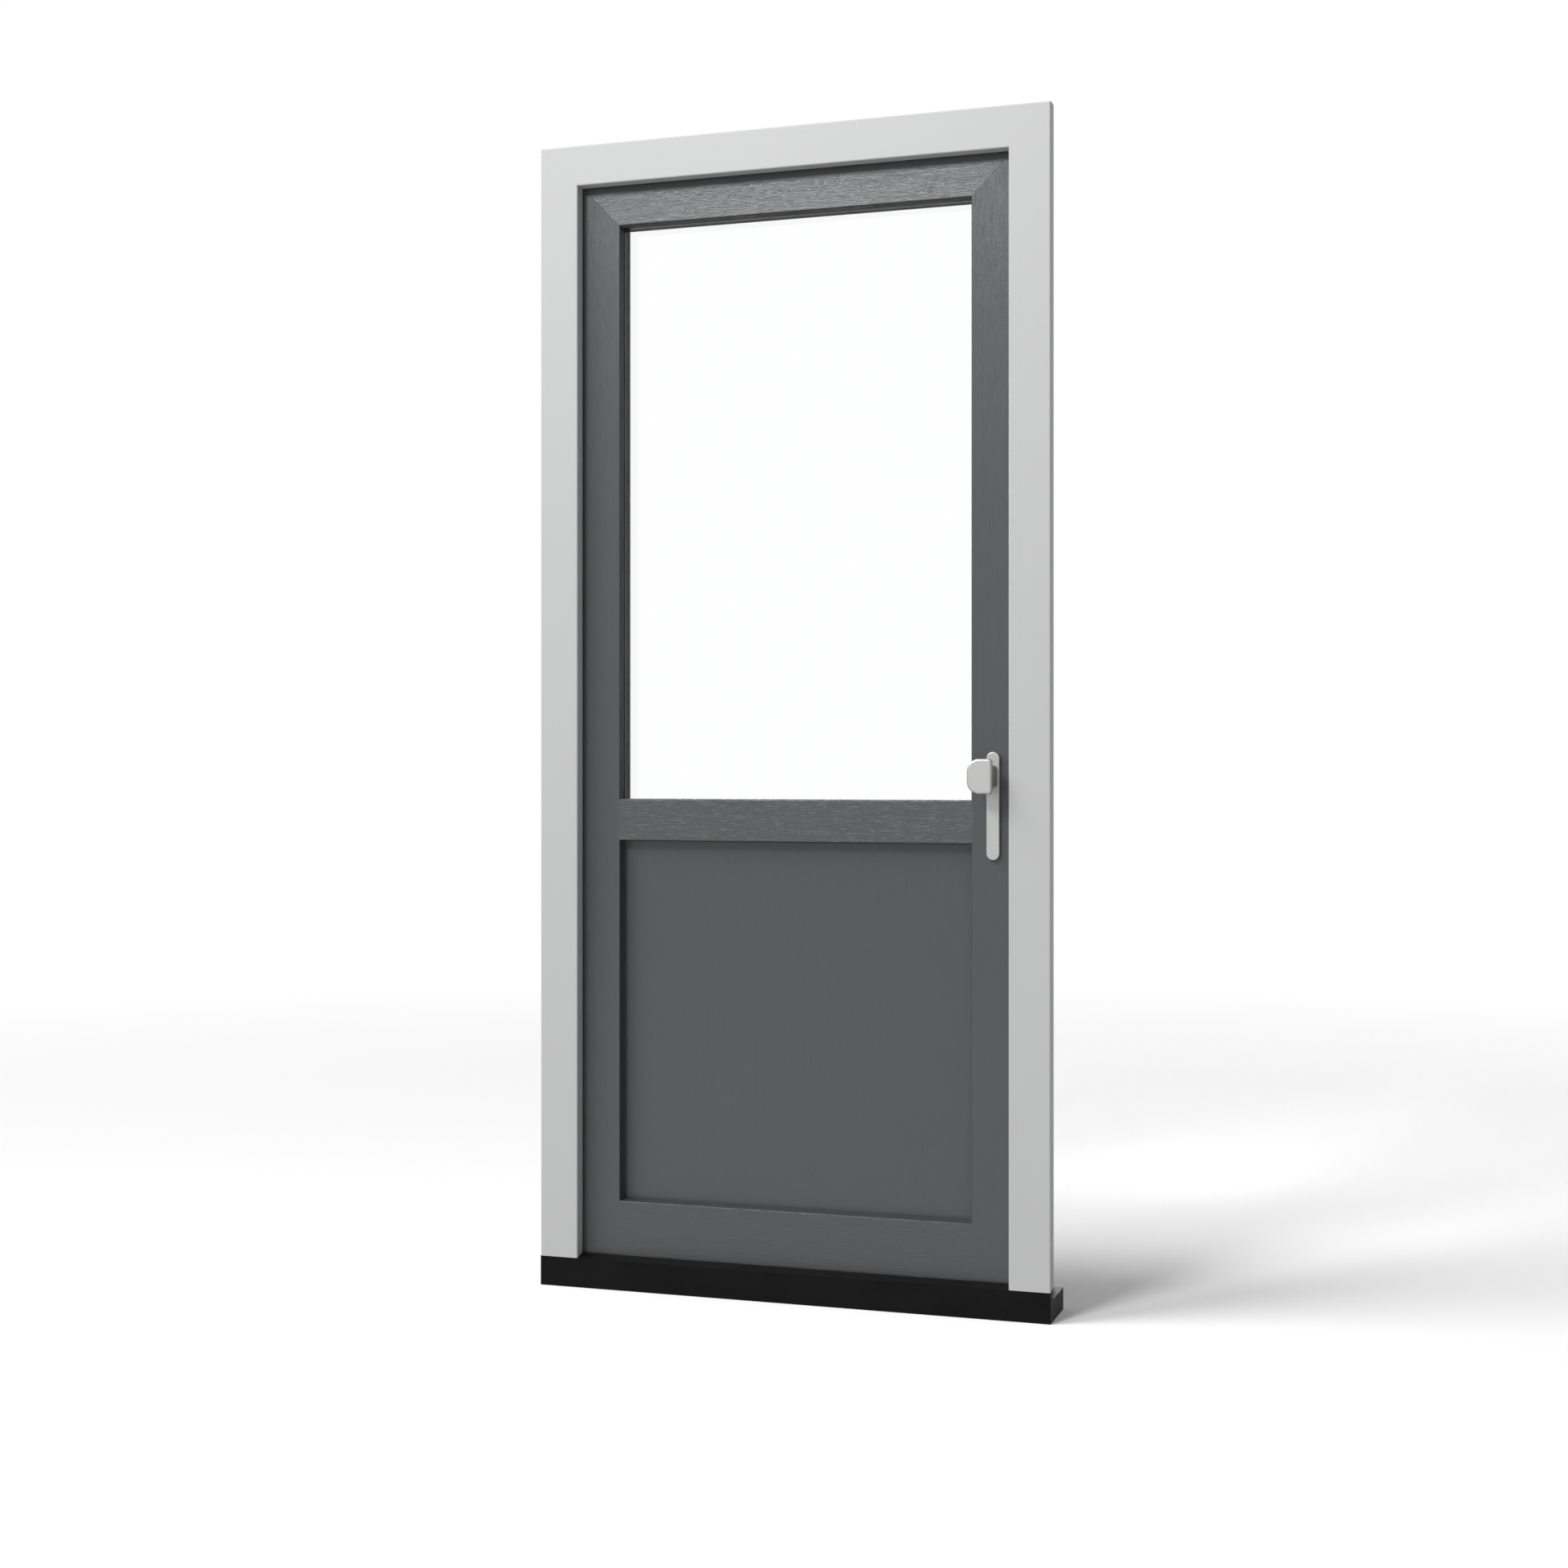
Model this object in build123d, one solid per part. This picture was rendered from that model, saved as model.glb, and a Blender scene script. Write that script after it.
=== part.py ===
from build123d import *
import os

# Half-glazed door that opens inwards, closed in its own frame. Lengths are in millimetres.
# +X runs from the hinges to the lock, +Y from the outside to the inside, +Z up.
# The origin is the middle of the threshold's underside.

# Frame: hollow profile with a stop lip and a wall flange on the outside, and a steel tube inside
FRAME_WIDTH = 1000.0
FRAME_HEIGHT = 2200.0
FRAME_DEPTH = 120.0
FRAME_FACE = 77.0
STOP_DEPTH = 25.0
STOP_OVERLAP = 23.0
WALL_FLANGE = 18.0
WALL_FLANGE_DEPTH = 28.0
FRAME_WALL = 3.0
FRAME_WEB = 2.0
OUTER_CHAMBER = 6.0
FRAME_STEEL_FRONT = 42.0
FRAME_STEEL_DEPTH = 48.0
PROFILE_RADIUS = 2.5
STEEL_WALL = 2.0
STEEL_CLEARANCE = 0.3
STEEL_END_GAP = 20.0

# Threshold: hollow bar with a sloped front that rises to a stop behind it
THRESHOLD_LEDGE = 40.0
THRESHOLD_FRONT = 56.0
THRESHOLD_STOP = 62.0
THRESHOLD_WALL = 4.0
END_CAP = 3.0

# Frame fixings: one hole near each end of a jamb and two between them
FIXING_RADIUS = 5.25
FIXING_OUTER_PITCH = 1800.0
FIXING_INNER_PITCH = 600.0
FIXING_SETBACK = 66.0

# Leaf: hollow profile with a lip outside the glass and a cover flange on the inside
LEAF_DEPTH = 74.0
LEAF_FACE = 87.0
LEAF_LIP = 20.0
LIP_DEPTH = 20.0
LEAF_GAP = 12.0
LEAF_FLANGE = 8.0
FLANGE_DEPTH = 14.0
LEAF_WALL = 3.0
LEAF_WEB = 2.0
EDGE_CHAMBER = 3.0
LEAF_STEEL_DEPTH = 40.0
BOTTOM_RAIL = 114.0
MID_RAIL = 80.0
MID_RAIL_HEIGHT = 901.0

# Seals between frame and leaf
STOP_SEAL = 5.0
STOP_SEAL_WIDTH = 8.0
STOP_SEAL_SETBACK = 1.5
SEAL_RELIEF = 0.2
BOTTOM_SEAL_WIDTH = 10.0
BOTTOM_SEAL_RELIEF = 0.5
BOTTOM_SEAL_SETBACK = 45.0

# Glazing: sealed unit of two panes, infill panel of the same thickness, beads on the inside
PANE = 4.0
CAVITY = 20.0
UNIT_EDGE_GAP = 5.0
GLAZING_SEAL = 4.0
BEAD_SEAL = 3.0
GLAZING_SEAL_WIDTH = 9.5
GLAZING_SEAL_SETBACK = 0.5
SPACER_WIDTH = 12.0
SPACER_SETBACK = 2.0
BEAD_NOSE = 2.0
BEAD_FALL = 11.0
BLOCK_LENGTH = 100.0
BLOCK_INSET = 60.0

# Hinges: screwed plates on the inside, three knuckles on each pin
HINGE_END_DISTANCE = 200.0
HINGE_AXIS_DROP = 4.0
KNUCKLE_RADIUS = 10.0
KNUCKLE_FRAME = 25.0
KNUCKLE_LEAF = 60.0
KNUCKLE_GAP = 0.3
HINGE_PLATE = 4.0
HINGE_PLATE_REACH = 59.0
HINGE_PLATE_HEIGHT = 104.0
HINGE_PLATE_RADIUS = 8.0
HINGE_PLATE_CLEARANCE = 1.0
HINGE_PLATE_MARGIN = 4.0
HINGE_LEAF_WEB = 8.0
PIN_RADIUS = 5.0
PIN_CAP = 4.0
BUSH_WALL = 1.5
HINGE_SCREW_INSET = 13.0
HINGE_SCREW_LENGTH = 36.0

# Screws: countersunk, the same head everywhere
SCREW_RADIUS = 2.2
SCREW_HEAD_RADIUS = 4.2
SCREW_HEAD_DEPTH = 2.0
SCREW_CLEARANCE = 0.05

# Lock: faceplate, central case, hook cases and drive rods in the lock stile
BACKSET = 45.0
SPINDLE_HEIGHT = 985.0
CYLINDER_DROP = 92.0
LOCK_SETBACK = 40.0
RUNNING_CLEARANCE = 0.05
FIT_CLEARANCE = 0.3
FACEPLATE_WIDTH = 16.0
FACEPLATE_THICKNESS = 2.5
FACEPLATE_LOW = 200.0
FACEPLATE_HIGH = 1760.0
FACEPLATE_SCREW_END = 15.0
FACEPLATE_SCREW_INNER = (600.0, 1300.0)
FACEPLATE_SCREW_LENGTH = 24.0
CASE_WIDTH = 16.0
CASE_WALL = 1.5
CASE_REAR = 15.0
CASE_ABOVE = 21.0
CASE_BELOW = 31.0
CASE_STANDOFF = 3.5
CASE_EAR = 6.0
ROD_WIDTH = 10.0
ROD_THICKNESS = 2.5
ROD_TRAVEL = 12.0
ROD_SLOT = 6.0
ROD_CASE_GAP = 2.0

# Bolts: latch and deadbolt in the central case, one hook in each hook case
BOLT_WIDTH = 12.0
LATCH_HEIGHT = 24.0
LATCH_LENGTH = 32.0
LATCH_THROW = 12.0
LATCH_BEVEL = 9.0
LATCH_NOSE = 5.0
DEADBOLT_HEIGHT = 34.0
DEADBOLT_LENGTH = 34.0
DEADBOLT_THROW = 20.0
DEADBOLT_RISE = 25.0
HOOK_HEIGHTS = (1650.0, 300.0)
HOOK_PIVOT_DEPTH = 20.0
HOOK_THICKNESS = 8.0
HOOK_REACH = 46.0
HOOK_ARM = 7.0
HOOK_NOSE = 14.0
HOOK_NOSE_LENGTH = 10.0
HOOK_PIN = 3.0
HOOK_ROOM = 2.5
HOOK_CASE_WALL = 2.0
HOOK_CASE_END = 2.0

# Strikes: plates on the lock jamb with pockets behind them
STRIKE_THICKNESS = 6.0
STRIKE_WIDTH = 20.0
STRIKE_MARGIN = 22.0
STRIKE_ROOM = 1.0
STRIKE_SCREW_LENGTH = 22.0
POCKET_ROOM = 2.0

# Key cylinder: half cylinder for the inside only, round head on a stem, a plug with a cam at its end
CYLINDER_RADIUS = 8.5
CYLINDER_STEM = 10.0
CYLINDER_HEIGHT = 33.0
CYLINDER_PROUD = 2.0
CYLINDER_END = 6.0
PLUG_RADIUS = 6.5
KEYWAY_WIDTH = 2.4
KEYWAY_HEIGHT = 8.5
KEYWAY_DEPTH = 24.0
CAM_WIDTH = 10.0
CAM_RADIUS = 7.5
CAM_BIT = 13.0
CAM_BIT_WIDTH = 6.0
CAM_GAP = 0.15
CYLINDER_SCREW_REACH = 3.0

# Handles: narrow round-ended plates, fixed grip outside, turning knob inside
PLATE_WIDTH = 25.0
PLATE_HEIGHT = 198.0
PLATE_THICKNESS = 8.0
PLATE_ABOVE = 45.0
PLATE_EDGE = 2.0
PLATE_SCREW_RISE = 36.0
PLATE_SCREW_DROP = 49.0
PLATE_SCREW_SEAT = 3.0
GRIP_WIDTH = 46.0
GRIP_HEIGHT = 64.0
GRIP_THICKNESS = 13.0
GRIP_LOCK_REACH = 8.5
GRIP_PROJECTION = 50.0
GRIP_ROUND = 23.0
GRIP_CORNER = 7.0
GRIP_EDGE = 4.0
GRIP_NECK_WIDTH = 16.0
GRIP_NECK_HEIGHT = 42.0
GRIP_NECK_ROUND = 7.0
KNOB_RADIUS = 25.0
KNOB_PROJECTION = 58.0
KNOB_HEAD = 24.0
KNOB_NECK = 9.0
KNOB_EDGE = 6.0
KNOB_FLARE = 8.0
KNOB_DISH = 3.0
KNOB_DISH_MARGIN = 6.0
SPINDLE_SIZE = 8.0
SPINDLE_IN_KNOB = 30.0
SPINDLE_ROOM = 2.0
FOLLOWER_RADIUS = 9.0
FOLLOWER_HUB = 7.0

# Shared by all cuts and comparisons
OVERRUN = 5.0
SAME_POINT = 0.001

X_DIR = Vector(1, 0, 0)
Y_DIR = Vector(0, 1, 0)
Z_DIR = Vector(0, 0, 1)

# Places that follow from the sizes above
half_width = FRAME_WIDTH / 2
frame_out = -FRAME_DEPTH / 2
frame_in = FRAME_DEPTH / 2
rebate = FRAME_FACE - STOP_OVERLAP
rebate_half = half_width - rebate
stop_half = half_width - FRAME_FACE
stop_back = frame_out + STOP_DEPTH

leaf_out = stop_back + STOP_SEAL
leaf_in = leaf_out + LEAF_DEPTH
leaf_half = rebate_half - LEAF_GAP
leaf_top = FRAME_HEIGHT - rebate - LEAF_GAP
leaf_bottom = THRESHOLD_LEDGE + LEAF_GAP
leaf_body = LEAF_FACE - LEAF_LIP
steel_back = LIP_DEPTH + LEAF_STEEL_DEPTH

glazing_half = leaf_half - leaf_body
mid_core = MID_RAIL - 2 * LEAF_LIP
glass_low = MID_RAIL_HEIGHT + mid_core / 2
glass_high = leaf_top - leaf_body
panel_low = leaf_bottom + BOTTOM_RAIL - LEAF_LIP
panel_high = MID_RAIL_HEIGHT - mid_core / 2
unit_depth = 2 * PANE + CAVITY
unit_front = leaf_out + LIP_DEPTH + GLAZING_SEAL
unit_back = unit_front + unit_depth
bead_front = unit_back + BEAD_SEAL

lock_y = leaf_out + LOCK_SETBACK
spindle_x = leaf_half - BACKSET
cylinder_z = SPINDLE_HEIGHT - CYLINDER_DROP
faceplate_back = leaf_half - FACEPLATE_THICKNESS
case_front = faceplate_back - CASE_STANDOFF
case_low = cylinder_z - CASE_BELOW
case_high = SPINDLE_HEIGHT + CASE_ABOVE
rod_front = faceplate_back - FIT_CLEARANCE
rod_back = rod_front - ROD_THICKNESS
hook_x = leaf_half - HOOK_PIVOT_DEPTH
strike_front = rebate_half - STRIKE_THICKNESS
plate_out = leaf_out - PLATE_THICKNESS
plate_in = leaf_in + PLATE_THICKNESS
plate_top = SPINDLE_HEIGHT + PLATE_ABOVE
plate_middle = plate_top - PLATE_HEIGHT / 2
plate_screw_heights = (SPINDLE_HEIGHT + PLATE_SCREW_RISE, cylinder_z - PLATE_SCREW_DROP)
hinge_y = frame_in - HINGE_AXIS_DROP
hinge_high = leaf_top - HINGE_END_DISTANCE
hinge_low = leaf_bottom + HINGE_END_DISTANCE
hinges = {"top": hinge_high, "middle": (hinge_high + hinge_low) / 2, "bottom": hinge_low}


def block(x0, x1, y0, y1, z0, z1):
    """Block between two opposite corners."""
    middle = Pos((x0 + x1) / 2, (y0 + y1) / 2, (z0 + z1) / 2)
    return middle * Box(x1 - x0, y1 - y0, z1 - z0)


def bar(radius, start, direction, length):
    """Round bar from a start point along a direction."""
    from_base = (Align.CENTER, Align.CENTER, Align.MIN)
    return Plane(origin=start, z_dir=direction) * Cylinder(radius, length, align=from_base)


def prism(section, origin, across, along, length):
    """Section run straight along a direction, with its first axis laid across it."""
    return extrude(Plane(origin=origin, x_dir=across, z_dir=along) * section, length)


def through_leaf(section, x, z, y0, y1):
    """Section drawn in X and Z, run from one depth of the door to another."""
    return prism(section, Vector(x, y1, z), X_DIR, -Y_DIR, y1 - y0)


def outline(points, rounded=(), radius=0):
    """Flat face inside straight edges, with the named corners rounded."""
    face = make_face(Polyline(*points, close=True))
    targets = [Vector(*p) for p in rounded]
    corners = [v for v in face.vertices() if any((Vector(v) - t).length < SAME_POINT for t in targets)]
    return fillet(corners, radius) if corners else face


def field(u0, u1, v0, v1):
    """Rectangle between two opposite corners of a section."""
    return Pos((u0 + u1) / 2, (v0 + v1) / 2) * Rectangle(u1 - u0, v1 - v0)


def hollow_bar(face, chambers, origin, across, along, length, closed=0):
    """Profile bar with its chambers, which start behind a closed end where one is given."""
    solid = prism(face, origin, across, along, length)
    start = origin + along * closed
    return solid - [prism(field(*c), start, across, along, length - closed) for c in chambers]


def steel_tube(chamber, origin, across, along, length):
    """Square steel tube that slides into a chamber."""
    u0, u1, v0, v1 = chamber
    outer = [u0 + STEEL_CLEARANCE, u1 - STEEL_CLEARANCE, v0 + STEEL_CLEARANCE, v1 - STEEL_CLEARANCE]
    inner = [outer[0] + STEEL_WALL, outer[1] - STEEL_WALL, outer[2] + STEEL_WALL, outer[3] - STEEL_WALL]
    return prism(field(*outer) - field(*inner), origin, across, along, length)


def flat_area(points, depth=FRAME_DEPTH):
    """Outline drawn in X and Z, run through the whole depth of the door."""
    return extrude(Plane.XZ * outline(points), depth, both=True)


def under_mitres(half, top):
    """Space below the two mitre lines that fall from the ends of a top member."""
    return flat_area([(-half, top), (half, top), (0, top - half)])


def ring(half, low, high, width, y0, y1):
    """Rectangular ring seen from the front, its width measured inwards."""
    outer = block(-half, half, y0, y1, low, high)
    return outer - block(width - half, half - width, y0, y1, low + width, high - width)


def group(shapes):
    """Separate solids kept together as one piece."""
    return Compound([solid for shape in shapes for solid in shape.solids()])


def screw(head, outward, length, clearance=0):
    """Countersunk screw with its head flush at a point, or the hole that it needs."""
    shank = SCREW_RADIUS + clearance
    top = SCREW_HEAD_RADIUS + clearance
    cone = Pos(0, 0, -SCREW_HEAD_DEPTH / 2) * Cone(shank, top, SCREW_HEAD_DEPTH)
    stem = Pos(0, 0, -length / 2) * Cylinder(shank, length)
    return Plane(origin=head, z_dir=outward) * (cone + stem)


parts = {}

# Frame jambs and head: one profile, mitred at the top corners, jambs cut to stand on the threshold
frame_outline = [
    (0, 0),
    (FRAME_FACE, 0),
    (FRAME_FACE, STOP_DEPTH),
    (rebate, STOP_DEPTH),
    (rebate, FRAME_DEPTH),
    (WALL_FLANGE, FRAME_DEPTH),
    (WALL_FLANGE, WALL_FLANGE_DEPTH),
    (0, WALL_FLANGE_DEPTH),
]
frame_face = outline(frame_outline, frame_outline[:2] + frame_outline[4:6], PROFILE_RADIUS)
front_back = STOP_DEPTH - FRAME_WALL
chamber_front = front_back + FRAME_WEB
chamber_back = FRAME_DEPTH - FRAME_WALL
outer_start = WALL_FLANGE + FRAME_WALL
inner_start = outer_start + OUTER_CHAMBER + FRAME_WEB
inner_end = rebate - FRAME_WALL
frame_steel_chamber = (inner_start, inner_end, FRAME_STEEL_FRONT, FRAME_STEEL_FRONT + FRAME_STEEL_DEPTH)
frame_chambers = [
    (FRAME_WALL, rebate - 2 * FRAME_WEB, FRAME_WALL, front_back),
    (rebate - FRAME_WEB, FRAME_FACE - FRAME_WALL, FRAME_WALL, front_back),
    (outer_start, outer_start + OUTER_CHAMBER, chamber_front, chamber_back),
    (inner_start, inner_end, chamber_front, FRAME_STEEL_FRONT - FRAME_WEB),
    frame_steel_chamber,
    (inner_start, inner_end, frame_steel_chamber[3] + FRAME_WEB, chamber_back),
]
head_space = under_mitres(half_width, FRAME_HEIGHT)
jamb_foot = Vector(-half_width, frame_out, 0)
head_end = Vector(-half_width, frame_out, FRAME_HEIGHT)
threshold_outline = [
    (frame_out, 0),
    (frame_in, 0),
    (frame_in, THRESHOLD_LEDGE),
    (stop_back, THRESHOLD_LEDGE),
    (stop_back, THRESHOLD_STOP),
    (frame_out, THRESHOLD_FRONT),
]
threshold_face = outline(threshold_outline)
threshold_space = prism(threshold_face, Vector(-half_width, 0, 0), Y_DIR, X_DIR, FRAME_WIDTH)
jamb = hollow_bar(frame_face, frame_chambers, jamb_foot, X_DIR, Z_DIR, FRAME_HEIGHT)
jamb = jamb - head_space - threshold_space
head = hollow_bar(frame_face, frame_chambers, head_end, -Z_DIR, X_DIR, FRAME_WIDTH) & head_space

jamb_steel_foot = jamb_foot + Z_DIR * (THRESHOLD_LEDGE + STEEL_END_GAP)
jamb_steel_length = FRAME_HEIGHT - FRAME_FACE - THRESHOLD_LEDGE - 2 * STEEL_END_GAP
jamb_steel = steel_tube(frame_steel_chamber, jamb_steel_foot, X_DIR, Z_DIR, jamb_steel_length)
head_steel_end = head_end + X_DIR * (FRAME_FACE + STEEL_END_GAP)
head_steel_length = FRAME_WIDTH - 2 * (FRAME_FACE + STEEL_END_GAP)
head_steel = steel_tube(frame_steel_chamber, head_steel_end, -Z_DIR, X_DIR, head_steel_length)

fixing_pitches = (FIXING_OUTER_PITCH, FIXING_INNER_PITCH)
fixing_heights = [FRAME_HEIGHT / 2 + s * pitch / 2 for s in (-1, 1) for pitch in fixing_pitches]
fixing_y = frame_out + FIXING_SETBACK
fixing_length = rebate + 2 * OVERRUN
fixing_start = Vector(-half_width - OVERRUN, fixing_y, 0)
hinge_fixings = [
    bar(FIXING_RADIUS, fixing_start + Z_DIR * z, X_DIR, fixing_length) for z in fixing_heights
]
lock_fixings = [mirror(hole, about=Plane.YZ) for hole in hinge_fixings]

# Threshold: hollow bar, a cap on each end
sill_middle = (stop_back + frame_in) / 2
front_chamber = (frame_out + THRESHOLD_WALL, stop_back - THRESHOLD_WALL)
ledge_chambers = (
    (stop_back, sill_middle - THRESHOLD_WALL / 2),
    (sill_middle + THRESHOLD_WALL / 2, frame_in - THRESHOLD_WALL),
)
sill_chambers = [(*front_chamber, THRESHOLD_WALL, THRESHOLD_FRONT - THRESHOLD_WALL)]
sill_chambers += [(*c, THRESHOLD_WALL, THRESHOLD_LEDGE - THRESHOLD_WALL) for c in ledge_chambers]
sill_end = Vector(END_CAP - half_width, 0, 0)
sill_length = FRAME_WIDTH - 2 * END_CAP
parts["threshold"] = hollow_bar(threshold_face, sill_chambers, sill_end, Y_DIR, X_DIR, sill_length)
cap_starts = (-half_width, half_width - END_CAP)
caps = [prism(threshold_face, Vector(x, 0, 0), Y_DIR, X_DIR, END_CAP) for x in cap_starts]
parts["threshold_end_caps"] = group(caps)

# Stop gasket on the back of the frame's lip and of the threshold's stop
gasket_half = stop_half + STOP_SEAL_SETBACK + STOP_SEAL_WIDTH
gasket_low = THRESHOLD_STOP - STOP_SEAL_SETBACK - STOP_SEAL_WIDTH
gasket_high = FRAME_HEIGHT - FRAME_FACE + STOP_SEAL_SETBACK + STOP_SEAL_WIDTH
gasket_back = leaf_out - SEAL_RELIEF
parts["frame_gasket"] = ring(gasket_half, gasket_low, gasket_high, STOP_SEAL_WIDTH, stop_back, gasket_back)

# Leaf profiles: stiles and top rail share a profile, mitred at the top, the other rails butt on the stiles
leaf_chambers = [
    (LEAF_WALL, (LEAF_FACE - LEAF_WEB) / 2, LEAF_WALL, LIP_DEPTH - LEAF_WEB),
    ((LEAF_FACE + LEAF_WEB) / 2, LEAF_FACE - LEAF_WALL, LEAF_WALL, LIP_DEPTH - LEAF_WEB),
    (LEAF_WALL, LEAF_WALL + EDGE_CHAMBER, LIP_DEPTH, steel_back),
    (LEAF_WALL + EDGE_CHAMBER + LEAF_WEB, leaf_body - LEAF_WALL, LIP_DEPTH, steel_back),
    (LEAF_WALL, leaf_body - LEAF_WALL, steel_back + LEAF_WEB, LEAF_DEPTH - LEAF_WALL),
]
leaf_outline = [
    (0, 0),
    (LEAF_FACE, 0),
    (LEAF_FACE, LIP_DEPTH),
    (leaf_body, LIP_DEPTH),
    (leaf_body, LEAF_DEPTH),
    (-LEAF_FLANGE, LEAF_DEPTH),
    (-LEAF_FLANGE, LEAF_DEPTH - FLANGE_DEPTH),
    (0, LEAF_DEPTH - FLANGE_DEPTH),
]
leaf_face = outline(leaf_outline, [leaf_outline[1], leaf_outline[5]], PROFILE_RADIUS)
top_space = under_mitres(leaf_half + LEAF_FLANGE, leaf_top + LEAF_FLANGE)
stile_foot = Vector(-leaf_half, leaf_out, leaf_bottom)
stile_length = leaf_top + LEAF_FLANGE - leaf_bottom
stile_space = prism(leaf_face, stile_foot, X_DIR, Z_DIR, stile_length)
stile_spaces = [stile_space, mirror(stile_space, about=Plane.YZ)]
stile = hollow_bar(leaf_face, leaf_chambers, stile_foot, X_DIR, Z_DIR, stile_length, LEAF_WALL) - top_space
rail_half = leaf_half + LEAF_FLANGE
top_rail_end = Vector(-rail_half, leaf_out, leaf_top)
top_rail = hollow_bar(leaf_face, leaf_chambers, top_rail_end, -Z_DIR, X_DIR, 2 * rail_half)
parts["leaf_rail_top"] = top_rail & top_space

bottom_body = BOTTOM_RAIL - LEAF_LIP
bottom_outline = [
    (0, 0),
    (BOTTOM_RAIL, 0),
    (BOTTOM_RAIL, LIP_DEPTH),
    (bottom_body, LIP_DEPTH),
    (bottom_body, LEAF_DEPTH),
    (0, LEAF_DEPTH),
]
bottom_steel_chamber = (LEAF_WALL, bottom_body - LEAF_WALL, LIP_DEPTH, steel_back)
bottom_chambers = [
    (LEAF_WALL, (BOTTOM_RAIL - LEAF_WEB) / 2, LEAF_WALL, LIP_DEPTH - LEAF_WEB),
    ((BOTTOM_RAIL + LEAF_WEB) / 2, BOTTOM_RAIL - LEAF_WALL, LEAF_WALL, LIP_DEPTH - LEAF_WEB),
    bottom_steel_chamber,
    (LEAF_WALL, bottom_body - LEAF_WALL, steel_back + LEAF_WEB, LEAF_DEPTH - LEAF_WALL),
]
bottom_face = outline(bottom_outline, [bottom_outline[1]], PROFILE_RADIUS)
bottom_end = Vector(glazing_half, leaf_out, leaf_bottom)
bottom_rail = hollow_bar(bottom_face, bottom_chambers, bottom_end, Z_DIR, -X_DIR, 2 * glazing_half)
parts["leaf_rail_bottom"] = bottom_rail - stile_spaces

mid_outline = [
    (0, 0),
    (MID_RAIL, 0),
    (MID_RAIL, LIP_DEPTH),
    (MID_RAIL - LEAF_LIP, LIP_DEPTH),
    (MID_RAIL - LEAF_LIP, LEAF_DEPTH),
    (LEAF_LIP, LEAF_DEPTH),
    (LEAF_LIP, LIP_DEPTH),
    (0, LIP_DEPTH),
]
core_low = LEAF_LIP + LEAF_WALL
core_high = MID_RAIL - LEAF_LIP - LEAF_WALL
mid_steel_chamber = (core_low, core_high, LIP_DEPTH, steel_back)
mid_chambers = [
    (LEAF_WALL, (MID_RAIL - LEAF_WEB) / 2, LEAF_WALL, LIP_DEPTH - LEAF_WEB),
    ((MID_RAIL + LEAF_WEB) / 2, MID_RAIL - LEAF_WALL, LEAF_WALL, LIP_DEPTH - LEAF_WEB),
    mid_steel_chamber,
    (core_low, core_high, steel_back + LEAF_WEB, LEAF_DEPTH - LEAF_WALL),
]
mid_face = outline(mid_outline, mid_outline[:2], PROFILE_RADIUS)
mid_end = Vector(glazing_half, leaf_out, MID_RAIL_HEIGHT - MID_RAIL / 2)
mid_rail = hollow_bar(mid_face, mid_chambers, mid_end, Z_DIR, -X_DIR, 2 * glazing_half)
parts["leaf_rail_mid"] = mid_rail - stile_spaces

# Steel tubes of the leaf, stopping short of the welded corners
leaf_steel_chamber = leaf_chambers[3]
stile_steel_foot = stile_foot + Z_DIR * STEEL_END_GAP
stile_steel_length = leaf_top - LEAF_FACE - leaf_bottom - 2 * STEEL_END_GAP
stile_steel = steel_tube(leaf_steel_chamber, stile_steel_foot, X_DIR, Z_DIR, stile_steel_length)
top_steel_end = Vector(LEAF_FACE + STEEL_END_GAP - leaf_half, leaf_out, leaf_top)
top_steel_length = 2 * (leaf_half - LEAF_FACE - STEEL_END_GAP)
rail_steel_half = glazing_half - STEEL_END_GAP
rail_steel_gap = X_DIR * STEEL_END_GAP
rail_steels = [
    steel_tube(leaf_steel_chamber, top_steel_end, -Z_DIR, X_DIR, top_steel_length),
    steel_tube(mid_steel_chamber, mid_end - rail_steel_gap, Z_DIR, -X_DIR, 2 * rail_steel_half),
    steel_tube(bottom_steel_chamber, bottom_end - rail_steel_gap, Z_DIR, -X_DIR, 2 * rail_steel_half),
]

seal_front = leaf_out + BOTTOM_SEAL_SETBACK
seal_low = THRESHOLD_LEDGE + BOTTOM_SEAL_RELIEF
parts["leaf_bottom_seal"] = block(
    -leaf_half, leaf_half, seal_front, seal_front + BOTTOM_SEAL_WIDTH, seal_low, leaf_bottom
)

# Sealed glass unit above, infill panel below, on setting blocks
unit_half = glazing_half - UNIT_EDGE_GAP
glass_edges = (glass_low + UNIT_EDGE_GAP, glass_high - UNIT_EDGE_GAP)
panel_edges = (panel_low + UNIT_EDGE_GAP, panel_high - UNIT_EDGE_GAP)
inner_pane_front = unit_back - PANE
cavity_front = unit_front + PANE
parts["glass_outer_pane"] = block(-unit_half, unit_half, unit_front, cavity_front, *glass_edges)
parts["glass_inner_pane"] = block(-unit_half, unit_half, inner_pane_front, unit_back, *glass_edges)
parts["glass_spacer"] = ring(
    unit_half - SPACER_SETBACK,
    glass_edges[0] + SPACER_SETBACK,
    glass_edges[1] - SPACER_SETBACK,
    SPACER_WIDTH,
    cavity_front,
    inner_pane_front,
)
parts["infill_panel"] = block(-unit_half, unit_half, unit_front, unit_back, *panel_edges)

block_middle = unit_half - BLOCK_INSET - BLOCK_LENGTH / 2
block_starts = [s * block_middle - BLOCK_LENGTH / 2 for s in (-1, 1)]
parts["setting_blocks"] = group(
    [
        block(x, x + BLOCK_LENGTH, unit_front, unit_back, low, low + UNIT_EDGE_GAP)
        for low in (glass_low, panel_low)
        for x in block_starts
    ]
)


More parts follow.
